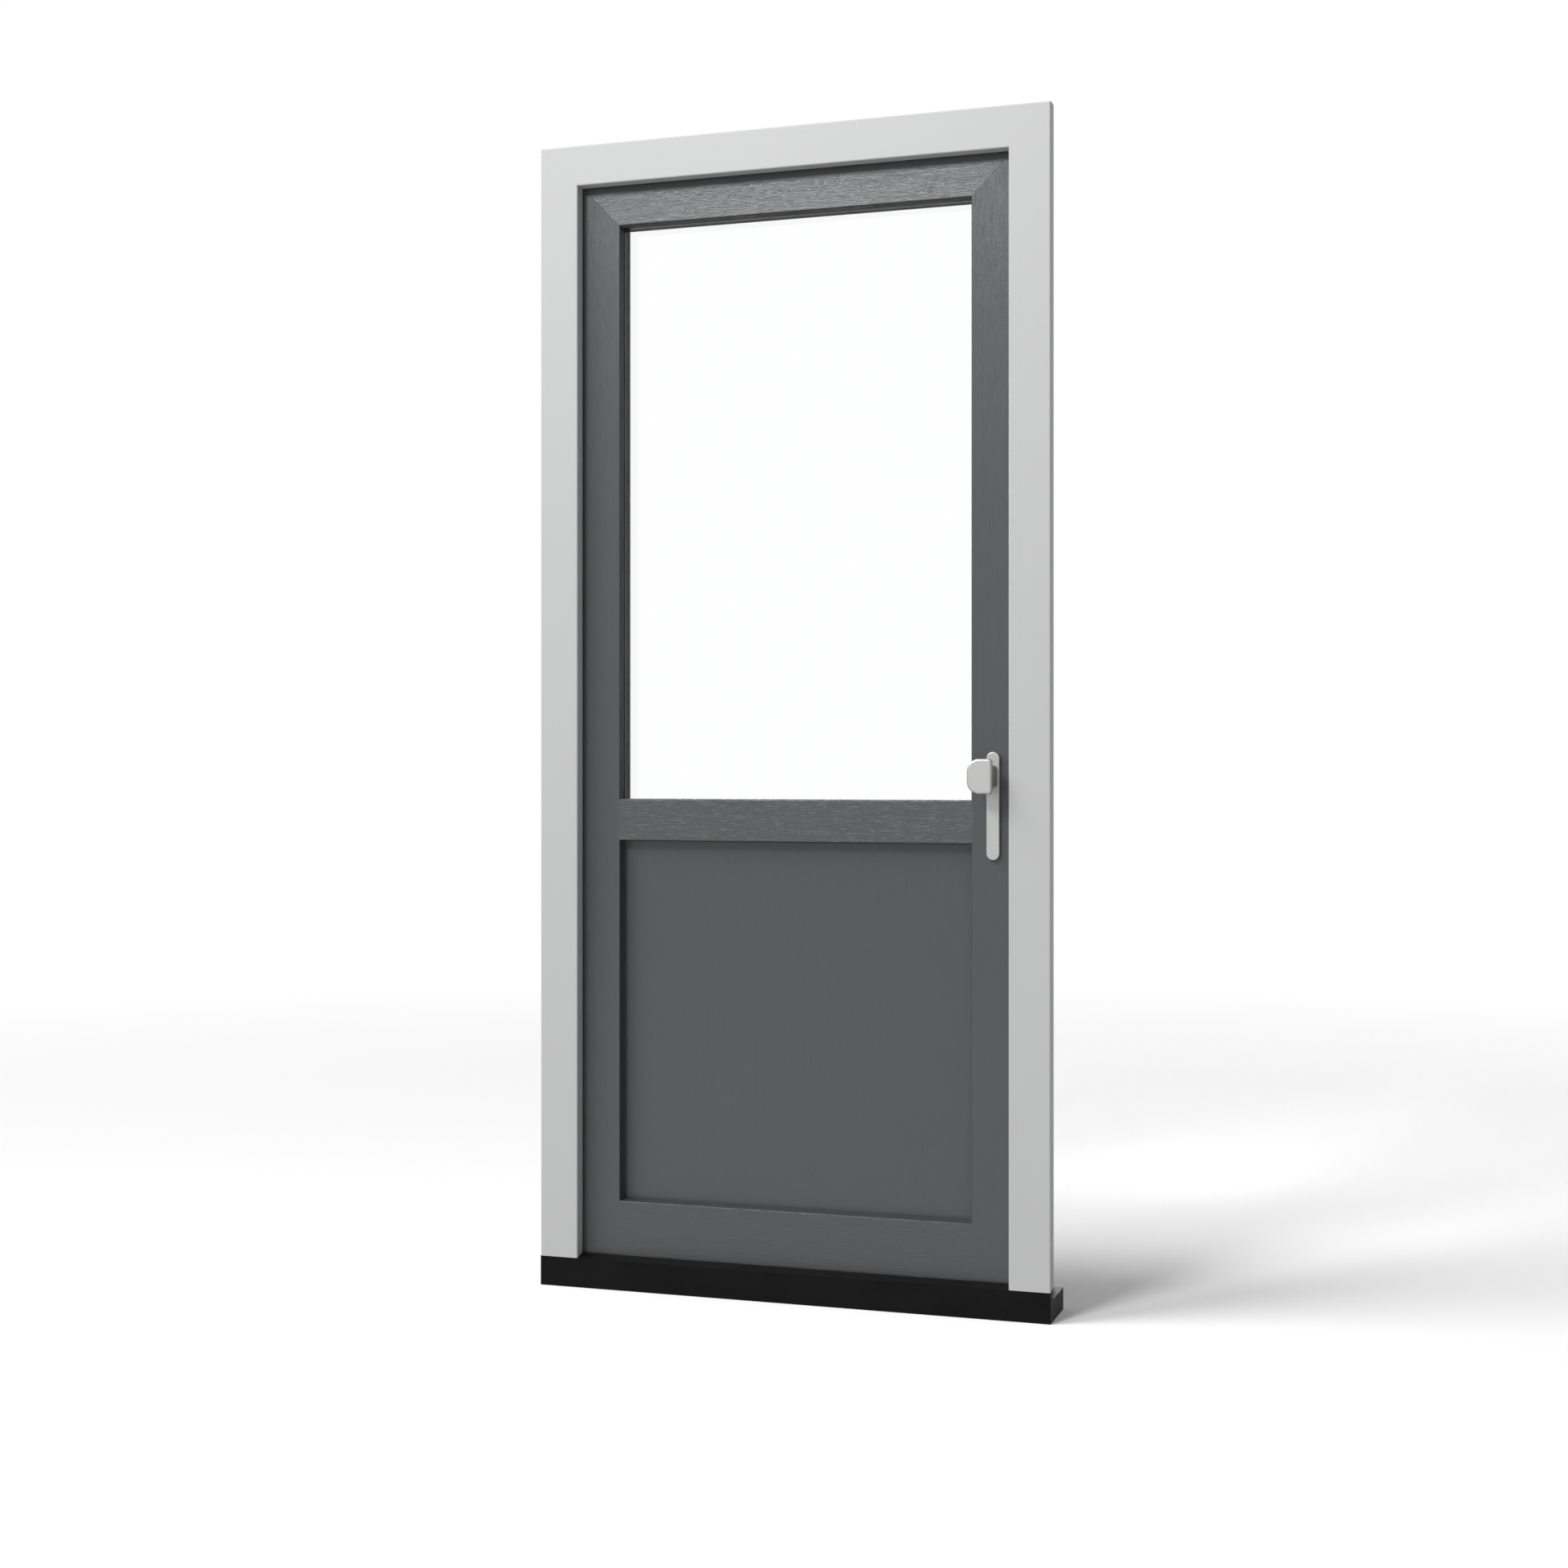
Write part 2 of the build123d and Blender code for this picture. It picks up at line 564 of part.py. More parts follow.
def sight_ring(low, high, y0, y1):
    """Seal that ends just behind the sight edge of a glazed opening."""
    reach = LEAF_LIP - GLAZING_SEAL_SETBACK - GLAZING_SEAL_WIDTH
    return ring(glazing_half - reach, low + reach, high - reach, GLAZING_SEAL_WIDTH, y0, y1)


openings = {"glass": (glass_low, glass_high), "panel": (panel_low, panel_high)}
lip_back = leaf_out + LIP_DEPTH
seal_depths = ((lip_back, unit_front), (unit_back, bead_front))
parts["glazing_seals"] = group([sight_ring(*span, *y) for span in openings.values() for y in seal_depths])

# Glazing beads: sloped on the room side, mitred at the corners
bead_depth = leaf_in - bead_front
bead_face = outline(
    [
        (0, 0),
        (LEAF_LIP, 0),
        (LEAF_LIP, BEAD_NOSE),
        (LEAF_LIP - BEAD_FALL, bead_depth),
        (0, bead_depth),
    ]
)
for name, (low, high) in openings.items():
    bead_corner = Vector(-glazing_half, bead_front, low)
    upright = prism(bead_face, bead_corner, X_DIR, Z_DIR, high - low)
    upright_area = flat_area(
        [
            (-glazing_half, low),
            (-glazing_half, high),
            (LEAF_LIP - glazing_half, high - LEAF_LIP),
            (LEAF_LIP - glazing_half, low + LEAF_LIP),
        ]
    )
    upright = upright & upright_area
    parts[name + "_bead_hinge_side"] = upright
    parts[name + "_bead_lock_side"] = mirror(upright, about=Plane.YZ)
    low_area = flat_area(
        [
            (-glazing_half, low),
            (glazing_half, low),
            (glazing_half - LEAF_LIP, low + LEAF_LIP),
            (LEAF_LIP - glazing_half, low + LEAF_LIP),
        ]
    )
    far_corner = Vector(glazing_half, bead_front, low)
    level = prism(bead_face, far_corner, Z_DIR, -X_DIR, 2 * glazing_half) & low_area
    parts[name + "_bead_bottom"] = level
    parts[name + "_bead_top"] = mirror(level, about=Plane.XY.offset((low + high) / 2))

# Hinges: frame plate with the outer knuckles, leaf plate with the middle one, capped pin, bush
frame_plate_end = WALL_FLANGE + HINGE_PLATE_MARGIN - half_width
frame_plate_edge = -rebate_half - HINGE_PLATE_CLEARANCE
leaf_plate_start = KNUCKLE_RADIUS + HINGE_PLATE_CLEARANCE - leaf_half
leaf_plate_end = leaf_plate_start + HINGE_PLATE_REACH
knuckle_half = KNUCKLE_LEAF / 2
frame_knuckle_start = knuckle_half + KNUCKLE_GAP
hinge_half = frame_knuckle_start + KNUCKLE_FRAME
bush_radius = PIN_RADIUS + RUNNING_CLEARANCE + BUSH_WALL
frame_screws = []
frame_screw_holes = []
leaf_screws = []
leaf_screw_holes = []
pins = []
bushes = []


def rounded_plate(x0, x1, y0, y1, z0, z1):
    """Plate on the inside face, with rounded corners."""
    plate = block(x0, x1, y0, y1, z0, z1)
    return fillet(plate.edges().filter_by(Axis.Y), HINGE_PLATE_RADIUS)


def plate_screw_places(columns, rows, y, z):
    """Screw heads of a hinge plate, its rows as shares of the reach from its middle."""
    reach = HINGE_PLATE_HEIGHT / 2 - HINGE_SCREW_INSET
    return [Vector(x, y, z + share * reach) for x in columns for share in rows]


for name, z in hinges.items():
    axis_foot = Vector(-leaf_half, hinge_y, z)
    pin_hole = bar(PIN_RADIUS + RUNNING_CLEARANCE, axis_foot - Z_DIR * hinge_half, Z_DIR, 2 * hinge_half)
    plate_low = z - HINGE_PLATE_HEIGHT / 2
    plate_high = z + HINGE_PLATE_HEIGHT / 2

    frame_column = frame_plate_end + HINGE_SCREW_INSET
    frame_places = plate_screw_places([frame_column], (-1, 0, 1), frame_in + HINGE_PLATE, z)
    frame_heads = [screw(p, Y_DIR, HINGE_SCREW_LENGTH) for p in frame_places]
    frame_holes = [screw(p, Y_DIR, HINGE_SCREW_LENGTH, SCREW_CLEARANCE) for p in frame_places]
    frame_half = rounded_plate(
        frame_plate_end, frame_plate_edge, frame_in, frame_in + HINGE_PLATE, plate_low, plate_high
    )
    for knuckle_low in (z - hinge_half, z + frame_knuckle_start):
        knuckle_foot = Vector(-leaf_half, hinge_y, knuckle_low)
        frame_half += bar(KNUCKLE_RADIUS, knuckle_foot, Z_DIR, KNUCKLE_FRAME)
        frame_half += block(
            frame_plate_edge - HINGE_PLATE_RADIUS,
            -leaf_half,
            frame_in,
            hinge_y + KNUCKLE_RADIUS,
            max(knuckle_low, plate_low + HINGE_PLATE_RADIUS),
            min(knuckle_low + KNUCKLE_FRAME, plate_high - HINGE_PLATE_RADIUS),
        )
    parts["hinge_frame_plate_" + name] = frame_half - pin_hole - frame_holes

    leaf_columns = (leaf_plate_start + HINGE_SCREW_INSET, leaf_plate_end - HINGE_SCREW_INSET)
    leaf_places = plate_screw_places(leaf_columns, (-1, 1), leaf_in + HINGE_PLATE, z)
    leaf_heads = [screw(p, Y_DIR, HINGE_SCREW_LENGTH) for p in leaf_places]
    leaf_holes = [screw(p, Y_DIR, HINGE_SCREW_LENGTH, SCREW_CLEARANCE) for p in leaf_places]
    leaf_knuckle = bar(KNUCKLE_RADIUS, axis_foot - Z_DIR * knuckle_half, Z_DIR, KNUCKLE_LEAF)
    leaf_web = block(
        -leaf_half,
        leaf_plate_start + HINGE_LEAF_WEB,
        leaf_in,
        hinge_y,
        z - knuckle_half,
        z + knuckle_half,
    )
    bush_hole = bar(bush_radius + RUNNING_CLEARANCE, axis_foot - Z_DIR * hinge_half, Z_DIR, 2 * hinge_half)
    leaf_half_plate = rounded_plate(
        leaf_plate_start, leaf_plate_end, leaf_in, leaf_in + HINGE_PLATE, plate_low, plate_high
    )
    parts["hinge_leaf_plate_" + name] = leaf_half_plate + leaf_web + leaf_knuckle - bush_hole - leaf_holes

    bush = bar(bush_radius, axis_foot - Z_DIR * knuckle_half, Z_DIR, KNUCKLE_LEAF)
    bushes.append(bush - pin_hole)
    pin = bar(PIN_RADIUS, axis_foot - Z_DIR * hinge_half, Z_DIR, 2 * hinge_half)
    pins.append(pin + bar(KNUCKLE_RADIUS, axis_foot + Z_DIR * hinge_half, Z_DIR, PIN_CAP))
    frame_screws += frame_heads
    frame_screw_holes += frame_holes
    leaf_screws += leaf_heads
    leaf_screw_holes += leaf_holes

parts["hinge_pins"] = group(pins)
parts["hinge_bushes"] = group(bushes)

# Lock faceplate in a groove of the lock stile's edge
case_side = CASE_WIDTH / 2
bolt_side = BOLT_WIDTH / 2
faceplate_side = FACEPLATE_WIDTH / 2
latch_low = SPINDLE_HEIGHT - LATCH_HEIGHT / 2
deadbolt_low = cylinder_z + DEADBOLT_RISE
bolt_spans = ((latch_low, latch_low + LATCH_HEIGHT), (deadbolt_low, deadbolt_low + DEADBOLT_HEIGHT))
cylinder_screw_z = cylinder_z - (CYLINDER_HEIGHT - CYLINDER_RADIUS - CYLINDER_STEM / 2)
hook_swing = (HOOK_REACH**2 + HOOK_NOSE**2) ** 0.5


def bolt_passage(x0, x1, room):
    """Openings that the latch and the deadbolt pass through."""
    sides = (lock_y - bolt_side - room, lock_y + bolt_side + room)
    return [block(x0, x1, *sides, low - room, high + room) for low, high in bolt_spans]


def hook_passage(x0, x1, height, side, top):
    """Opening that a hook swings through, as deep as its tip sweeps there."""
    sweep = (hook_swing**2 - (x0 - hook_x) ** 2) ** 0.5
    return block(x0, x1, lock_y - side, lock_y + side, height - sweep - HOOK_ROOM, height + top)


hook_side = HOOK_THICKNESS / 2 + HOOK_ROOM
hook_arm_top = HOOK_ARM + HOOK_ROOM
screw_ends = (FACEPLATE_LOW + FACEPLATE_SCREW_END, FACEPLATE_HIGH - FACEPLATE_SCREW_END)
faceplate_screw_heights = screw_ends + FACEPLATE_SCREW_INNER
faceplate_places = [Vector(leaf_half, lock_y, z) for z in faceplate_screw_heights]
faceplate_screw_holes = [screw(p, X_DIR, FACEPLATE_SCREW_LENGTH, SCREW_CLEARANCE) for p in faceplate_places]
leaf_screws += [screw(p, X_DIR, FACEPLATE_SCREW_LENGTH) for p in faceplate_places]
cylinder_screw_length = leaf_half - spindle_x + CYLINDER_SCREW_REACH
cylinder_screw_place = Vector(leaf_half, lock_y, cylinder_screw_z)
cylinder_screw_hole = screw(cylinder_screw_place, X_DIR, cylinder_screw_length, SCREW_CLEARANCE)
parts["cylinder_screw"] = screw(cylinder_screw_place, X_DIR, cylinder_screw_length)

faceplate_sides = (lock_y - faceplate_side, lock_y + faceplate_side)
faceplate = block(faceplate_back, leaf_half, *faceplate_sides, FACEPLATE_LOW, FACEPLATE_HIGH)
faceplate = fillet(faceplate.edges().filter_by(Axis.X), faceplate_side - FIT_CLEARANCE)
faceplate_over = leaf_half + OVERRUN
faceplate_cuts = bolt_passage(faceplate_back - OVERRUN, faceplate_over, FIT_CLEARANCE)
faceplate_cuts += [
    hook_passage(case_front, faceplate_over, z, hook_side, hook_arm_top) for z in HOOK_HEIGHTS
]
faceplate_cuts += faceplate_screw_holes + [cylinder_screw_hole]
parts["lock_faceplate"] = faceplate - faceplate_cuts

# Key cylinder: keyhole-shaped body that stops behind the cam, cut away for it
stem_reach = CYLINDER_HEIGHT - CYLINDER_RADIUS
stem_round = CYLINDER_STEM / 2


def keyhole(clearance=0):
    """Section of the cylinder: a round head on a round-ended stem."""
    half_stem = stem_round + clearance
    stem = field(-half_stem, half_stem, stem_round - stem_reach, 0)
    foot = Pos(0, stem_round - stem_reach) * Circle(half_stem)
    return Circle(CYLINDER_RADIUS + clearance) + stem + foot


cam_out = lock_y - CAM_WIDTH / 2
cam_in = lock_y + CAM_WIDTH / 2
cylinder_end = cam_out - CYLINDER_END
cylinder_in = plate_in + CYLINDER_PROUD
plug_start = Vector(spindle_x, cam_in, cylinder_z)
plug_length = cylinder_in - cam_in
cam_room = block(
    spindle_x - CAM_BIT,
    spindle_x + CAM_BIT,
    cam_out - CAM_GAP,
    cam_in + CAM_GAP,
    cylinder_z - CAM_BIT - FIT_CLEARANCE,
    cylinder_z + CAM_BIT,
)
plug_bore = bar(PLUG_RADIUS + RUNNING_CLEARANCE, plug_start, Y_DIR, plug_length)
cylinder_body = through_leaf(keyhole(), spindle_x, cylinder_z, cylinder_end, cylinder_in)
parts["cylinder_body"] = cylinder_body - cam_room - plug_bore - cylinder_screw_hole
cylinder_hole = through_leaf(
    keyhole(FIT_CLEARANCE), spindle_x, cylinder_z, cylinder_end - FIT_CLEARANCE, cylinder_in
)

keyway_face = Rectangle(KEYWAY_WIDTH, KEYWAY_HEIGHT)
keyway = through_leaf(keyway_face, spindle_x, cylinder_z, cylinder_in - KEYWAY_DEPTH, cylinder_in)
parts["key_plug"] = bar(PLUG_RADIUS, plug_start, Y_DIR, plug_length) - keyway
cam_face = Circle(CAM_RADIUS) + field(-CAM_BIT_WIDTH / 2, CAM_BIT_WIDTH / 2, -CAM_BIT, 0) & Circle(CAM_BIT)
parts["key_cam"] = through_leaf(cam_face, spindle_x, cylinder_z, cam_out, cam_in)

# Central lock case: folded steel box with ears that carry the faceplate
case_back = spindle_x - CASE_REAR
case_sides = (lock_y - case_side, lock_y + case_side)
case = block(case_back, case_front, *case_sides, case_low, case_high)
case -= block(
    case_back + CASE_WALL,
    case_front - CASE_WALL,
    case_sides[0] + CASE_WALL,
    case_sides[1] - CASE_WALL,
    case_low + CASE_WALL,
    case_high - CASE_WALL,
)
for ear_low in (case_low, case_high - CASE_EAR):
    case += block(case_front, faceplate_back, *case_sides, ear_low, ear_low + CASE_EAR)
hub_start = Vector(spindle_x, case_sides[0], SPINDLE_HEIGHT)
hub_hole = bar(FOLLOWER_HUB + RUNNING_CLEARANCE, hub_start, Y_DIR, CASE_WIDTH)
case_cuts = bolt_passage(case_front - OVERRUN, faceplate_back, FIT_CLEARANCE)
parts["lock_case"] = case - case_cuts - [hub_hole, cylinder_hole, cylinder_screw_hole]
case_pocket = block(
    case_back - FIT_CLEARANCE,
    leaf_half + OVERRUN,
    case_sides[0] - FIT_CLEARANCE,
    case_sides[1] + FIT_CLEARANCE,
    case_low - FIT_CLEARANCE,
    case_high + FIT_CLEARANCE,
)

# Latch bolt, bevelled on the side that meets the strike as the door closes, and the deadbolt
bolt_sides = (lock_y - bolt_side, lock_y + bolt_side)
latch_tail = leaf_half - LATCH_LENGTH
latch_outline = [
    (latch_tail, bolt_sides[0]),
    (leaf_half - LATCH_BEVEL, bolt_sides[0]),
    (leaf_half, bolt_sides[1] - LATCH_NOSE),
    (leaf_half, bolt_sides[1]),
    (latch_tail, bolt_sides[1]),
]
parts["latch_bolt"] = prism(outline(latch_outline), Vector(0, 0, latch_low), X_DIR, Z_DIR, LATCH_HEIGHT)
parts["deadbolt"] = block(leaf_half - DEADBOLT_LENGTH, leaf_half, *bolt_sides, *bolt_spans[1])

# Hooks that hang in their cases when unlocked, on pins riveted into the cases
hook_outline = [
    (-HOOK_ARM, 0),
    (HOOK_ARM, 0),
    (HOOK_ARM, HOOK_NOSE_LENGTH - HOOK_REACH),
    (HOOK_NOSE, HOOK_NOSE_LENGTH - HOOK_REACH),
    (HOOK_NOSE, -HOOK_REACH),
    (-HOOK_ARM, -HOOK_REACH),
]
hook_face = outline(hook_outline, hook_outline[5:], HOOK_ARM) + Circle(HOOK_ARM)
hook_face -= Circle(HOOK_PIN + RUNNING_CLEARANCE)
hook_sides = (lock_y - HOOK_THICKNESS / 2, lock_y + HOOK_THICKNESS / 2)
hook_case_back = hook_x - HOOK_ARM - HOOK_ROOM - HOOK_CASE_WALL
hook_case_ends = (-hook_swing - HOOK_ROOM - HOOK_CASE_END, hook_arm_top + HOOK_CASE_END)
hook_cases = []
hook_pockets = []
for name, z in zip(("top", "bottom"), HOOK_HEIGHTS):
    parts["hook_" + name] = through_leaf(hook_face, hook_x, z, *hook_sides)
    low = z + hook_case_ends[0]
    high = z + hook_case_ends[1]
    hook_case = block(hook_case_back, faceplate_back, *case_sides, low, high)
    hook_case -= block(
        hook_case_back + HOOK_CASE_WALL,
        faceplate_back,
        lock_y - hook_side,
        lock_y + hook_side,
        low + HOOK_CASE_END,
        high - HOOK_CASE_END,
    )
    hook_case += bar(HOOK_PIN, Vector(hook_x, case_sides[0], z), Y_DIR, CASE_WIDTH)
    hook_cases.append(hook_case)
    hook_pockets.append(
        block(
            hook_case_back - FIT_CLEARANCE,
            leaf_half + OVERRUN,
            case_sides[0] - FIT_CLEARANCE,
            case_sides[1] + FIT_CLEARANCE,
            low - FIT_CLEARANCE,
            high + FIT_CLEARANCE,
        )
    )
parts["hook_cases"] = group(hook_cases)

# Drive rods behind the faceplate, slotted where its screws pass
rod_sides = (lock_y - ROD_WIDTH / 2, lock_y + ROD_WIDTH / 2)
top_hook_case_low = HOOK_HEIGHTS[0] + hook_case_ends[0]
bottom_hook_case_high = HOOK_HEIGHTS[1] + hook_case_ends[1]
rod_spans = (
    (case_high + ROD_CASE_GAP, top_hook_case_low - ROD_TRAVEL - ROD_CASE_GAP),
    (bottom_hook_case_high + ROD_CASE_GAP, case_low - ROD_TRAVEL - ROD_CASE_GAP),
)
slot_side = ROD_SLOT / 2
slot_sides = (lock_y - slot_side, lock_y + slot_side)
rod_slots = [
    block(rod_back, rod_front, *slot_sides, z - ROD_TRAVEL - slot_side, z + slot_side)
    for z in FACEPLATE_SCREW_INNER
]
rods = [block(rod_back, rod_front, *rod_sides, *span) - rod_slots for span in rod_spans]
parts["drive_rods"] = group(rods)
groove = block(
    faceplate_back,
    leaf_half + OVERRUN,
    faceplate_sides[0] - FIT_CLEARANCE,
    faceplate_sides[1] + FIT_CLEARANCE,
    FACEPLATE_LOW - FIT_CLEARANCE,
    FACEPLATE_HIGH + FIT_CLEARANCE,
)
rod_channel = block(
    rod_back - FIT_CLEARANCE,
    faceplate_back,
    rod_sides[0] - FIT_CLEARANCE,
    rod_sides[1] + FIT_CLEARANCE,
    bottom_hook_case_high,
    top_hook_case_low,
)

# Handles: fixed grip and plate outside, knob and plate inside, screwed together through the stile


def handle_plate(y0, y1, shown):
    """Round-ended plate with a softened edge on the side that shows."""
    face = SlotOverall(PLATE_HEIGHT, PLATE_WIDTH, rotation=90)
    plate = through_leaf(face, spindle_x, plate_middle, y0, y1)
    rim = plate.faces().filter_by(Axis.Y).sort_by(Axis.Y)[shown].edges()
    return fillet(rim, PLATE_EDGE)


plate_screw_length = plate_in - leaf_out + PLATE_THICKNESS - PLATE_SCREW_SEAT
plate_screw_spots = [Vector(spindle_x, plate_in, z) for z in plate_screw_heights]
plate_screw_holes = [screw(p, Y_DIR, plate_screw_length, SCREW_CLEARANCE) for p in plate_screw_spots]
parts["plate_screws"] = group([screw(p, Y_DIR, plate_screw_length) for p in plate_screw_spots])
knob_start = Vector(spindle_x, leaf_in, SPINDLE_HEIGHT)
knob_bore = bar(KNOB_NECK + RUNNING_CLEARANCE, knob_start, Y_DIR, PLATE_THICKNESS)
parts["outside_plate"] = handle_plate(plate_out, leaf_out, 0) - plate_screw_holes
inside_plate_cuts = [cylinder_hole, knob_bore] + plate_screw_holes
parts["inside_plate"] = handle_plate(leaf_in, plate_in, -1) - inside_plate_cuts

grip_outline = [
    (-GRIP_WIDTH, -GRIP_HEIGHT / 2),
    (0, -GRIP_HEIGHT / 2),
    (0, GRIP_HEIGHT / 2),
    (-GRIP_WIDTH, GRIP_HEIGHT / 2),
]
grip_face = outline(grip_outline, [grip_outline[0], grip_outline[3]], GRIP_ROUND)
grip_face = fillet(grip_face.vertices().sort_by(Axis.X)[-2:], GRIP_CORNER)
grip_out = plate_out - GRIP_PROJECTION
grip_back = grip_out + GRIP_THICKNESS
grip = through_leaf(grip_face, spindle_x + GRIP_LOCK_REACH, SPINDLE_HEIGHT, grip_out, grip_back)
grip = fillet(grip.faces().filter_by(Axis.Y).edges(), GRIP_EDGE)
grip_neck_face = RectangleRounded(GRIP_NECK_WIDTH, GRIP_NECK_HEIGHT, GRIP_NECK_ROUND)
grip_middle = (grip_out + grip_back) / 2
grip_neck = through_leaf(grip_neck_face, spindle_x, SPINDLE_HEIGHT, grip_middle, plate_out)
parts["outside_grip"] = grip + grip_neck

spindle_start = case_sides[0]
knob_top = plate_in + KNOB_PROJECTION
knob_rim = knob_top - KNOB_HEAD
knob_outline = [
    (0, leaf_in + FIT_CLEARANCE),
    (KNOB_NECK, leaf_in + FIT_CLEARANCE),
    (KNOB_NECK, knob_rim),
    (KNOB_RADIUS, knob_rim),
    (KNOB_RADIUS, knob_top),
    (0, knob_top),
]
knob_face = outline(knob_outline, knob_outline[3:5], KNOB_EDGE)
knob_face = fillet(knob_face.vertices().sort_by_distance((KNOB_NECK, knob_rim))[0], KNOB_FLARE)
knob_dish_radius = KNOB_RADIUS - KNOB_DISH_MARGIN
knob_dish_sphere = (knob_dish_radius**2 + KNOB_DISH**2) / (2 * KNOB_DISH)
knob_section = Plane(origin=(spindle_x, 0, SPINDLE_HEIGHT), x_dir=X_DIR, z_dir=Z_DIR) * knob_face
knob = revolve(knob_section, Axis((spindle_x, 0, SPINDLE_HEIGHT), (0, 1, 0)))
knob -= Pos(spindle_x, knob_top + knob_dish_sphere - KNOB_DISH, SPINDLE_HEIGHT) * Sphere(knob_dish_sphere)
spindle_end = plate_in + SPINDLE_IN_KNOB
spindle_face = Rectangle(SPINDLE_SIZE, SPINDLE_SIZE)
spindle_hole_face = Rectangle(SPINDLE_SIZE + RUNNING_CLEARANCE, SPINDLE_SIZE + RUNNING_CLEARANCE)
spindle_hole = through_leaf(spindle_hole_face, spindle_x, SPINDLE_HEIGHT, spindle_start, spindle_end)
parts["inside_knob"] = knob - spindle_hole
parts["spindle"] = through_leaf(spindle_face, spindle_x, SPINDLE_HEIGHT, spindle_start, spindle_end)
follower = bar(FOLLOWER_HUB, hub_start, Y_DIR, CASE_WIDTH)
wheel_start = hub_start + Y_DIR * (CASE_WALL + FIT_CLEARANCE)
follower += bar(FOLLOWER_RADIUS, wheel_start, Y_DIR, CASE_WIDTH - 2 * (CASE_WALL + FIT_CLEARANCE))
parts["follower"] = follower - spindle_hole
spindle_room_start = Vector(spindle_x, lock_y, SPINDLE_HEIGHT)
spindle_room = bar(SPINDLE_SIZE / 2 * 2**0.5 + SPINDLE_ROOM, spindle_room_start, Y_DIR, leaf_in - lock_y)

# Strikes on the lock jamb: main plate for latch and deadbolt, one plate for each hook
strike_sides = (lock_y - STRIKE_WIDTH / 2, lock_y + STRIKE_WIDTH / 2)
hook_strike_top = HOOK_ARM + STRIKE_ROOM
hook_strike_side = HOOK_THICKNESS / 2 + STRIKE_ROOM


def strike(low, high, cuts):
    """Strike plate round its openings, with a screw at each end, and the screws."""
    ends = (low - STRIKE_MARGIN, high + STRIKE_MARGIN)
    plate = block(strike_front, rebate_half, *strike_sides, *ends)
    places = [Vector(strike_front, lock_y, z) for z in (low - STRIKE_MARGIN / 2, high + STRIKE_MARGIN / 2)]
    screws = [screw(p, -X_DIR, STRIKE_SCREW_LENGTH) for p in places]
    holes = [screw(p, -X_DIR, STRIKE_SCREW_LENGTH, SCREW_CLEARANCE) for p in places]
    return plate - cuts - holes, screws, holes


main_cuts = bolt_passage(strike_front, rebate_half, STRIKE_ROOM)
main_span = (deadbolt_low - STRIKE_ROOM, latch_low + LATCH_HEIGHT + STRIKE_ROOM)
main_strike, strike_screws, strike_holes = strike(*main_span, main_cuts)
parts["strike_plate_main"] = main_strike
pocket_side = bolt_side + STRIKE_ROOM
strike_pockets = [
    block(
        strike_front,
        leaf_half + throw + POCKET_ROOM,
        lock_y - pocket_side,
        lock_y + pocket_side,
        low - STRIKE_ROOM,
        high + STRIKE_ROOM,
    )
    for (low, high), throw in zip(bolt_spans, (LATCH_THROW, DEADBOLT_THROW))
]
hook_strikes = []
for z in HOOK_HEIGHTS:
    opening = hook_passage(strike_front, rebate_half, z, hook_strike_side, hook_strike_top)
    box = opening.bounding_box()
    hook_strike, screws, holes = strike(box.min.Z, box.max.Z, [opening])
    hook_strikes.append(hook_strike)
    strike_screws += screws
    strike_holes += holes
    pocket_end = hook_x + HOOK_REACH + POCKET_ROOM
    strike_pockets.append(hook_passage(rebate_half, pocket_end, z, hook_side, HOOK_NOSE + HOOK_ROOM))
parts["hook_strikes"] = group(hook_strikes)

# Profiles and steels with the holes that the hardware needs
hinge_jamb_cuts = hinge_fixings + frame_screw_holes
lock_jamb_cuts = lock_fixings + strike_pockets + strike_holes
parts["frame_jamb_hinge"] = jamb - hinge_jamb_cuts
parts["frame_jamb_lock"] = mirror(jamb, about=Plane.YZ) - lock_jamb_cuts
parts["frame_head"] = head
parts["frame_steel"] = group(
    [jamb_steel - hinge_jamb_cuts, mirror(jamb_steel, about=Plane.YZ) - lock_jamb_cuts, head_steel]
)
parts["frame_screws"] = group(frame_screws + strike_screws)

lock_stile_cuts = [case_pocket, groove, rod_channel, cylinder_hole, spindle_room]
lock_stile_cuts += hook_pockets + plate_screw_holes + faceplate_screw_holes
parts["leaf_stile_hinge"] = stile - leaf_screw_holes
parts["leaf_stile_lock"] = mirror(stile, about=Plane.YZ) - lock_stile_cuts
lock_stile_steel = mirror(stile_steel, about=Plane.YZ) - lock_stile_cuts
parts["leaf_steel"] = group([stile_steel - leaf_screw_holes, lock_stile_steel] + rail_steels)
parts["leaf_screws"] = group(leaf_screws)

os.makedirs("parts", exist_ok=True)
for node, shape in parts.items():
    export_step(shape, "parts/" + node + ".step")
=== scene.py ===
import bpy
import bmesh
import math
from mathutils import Matrix, Vector


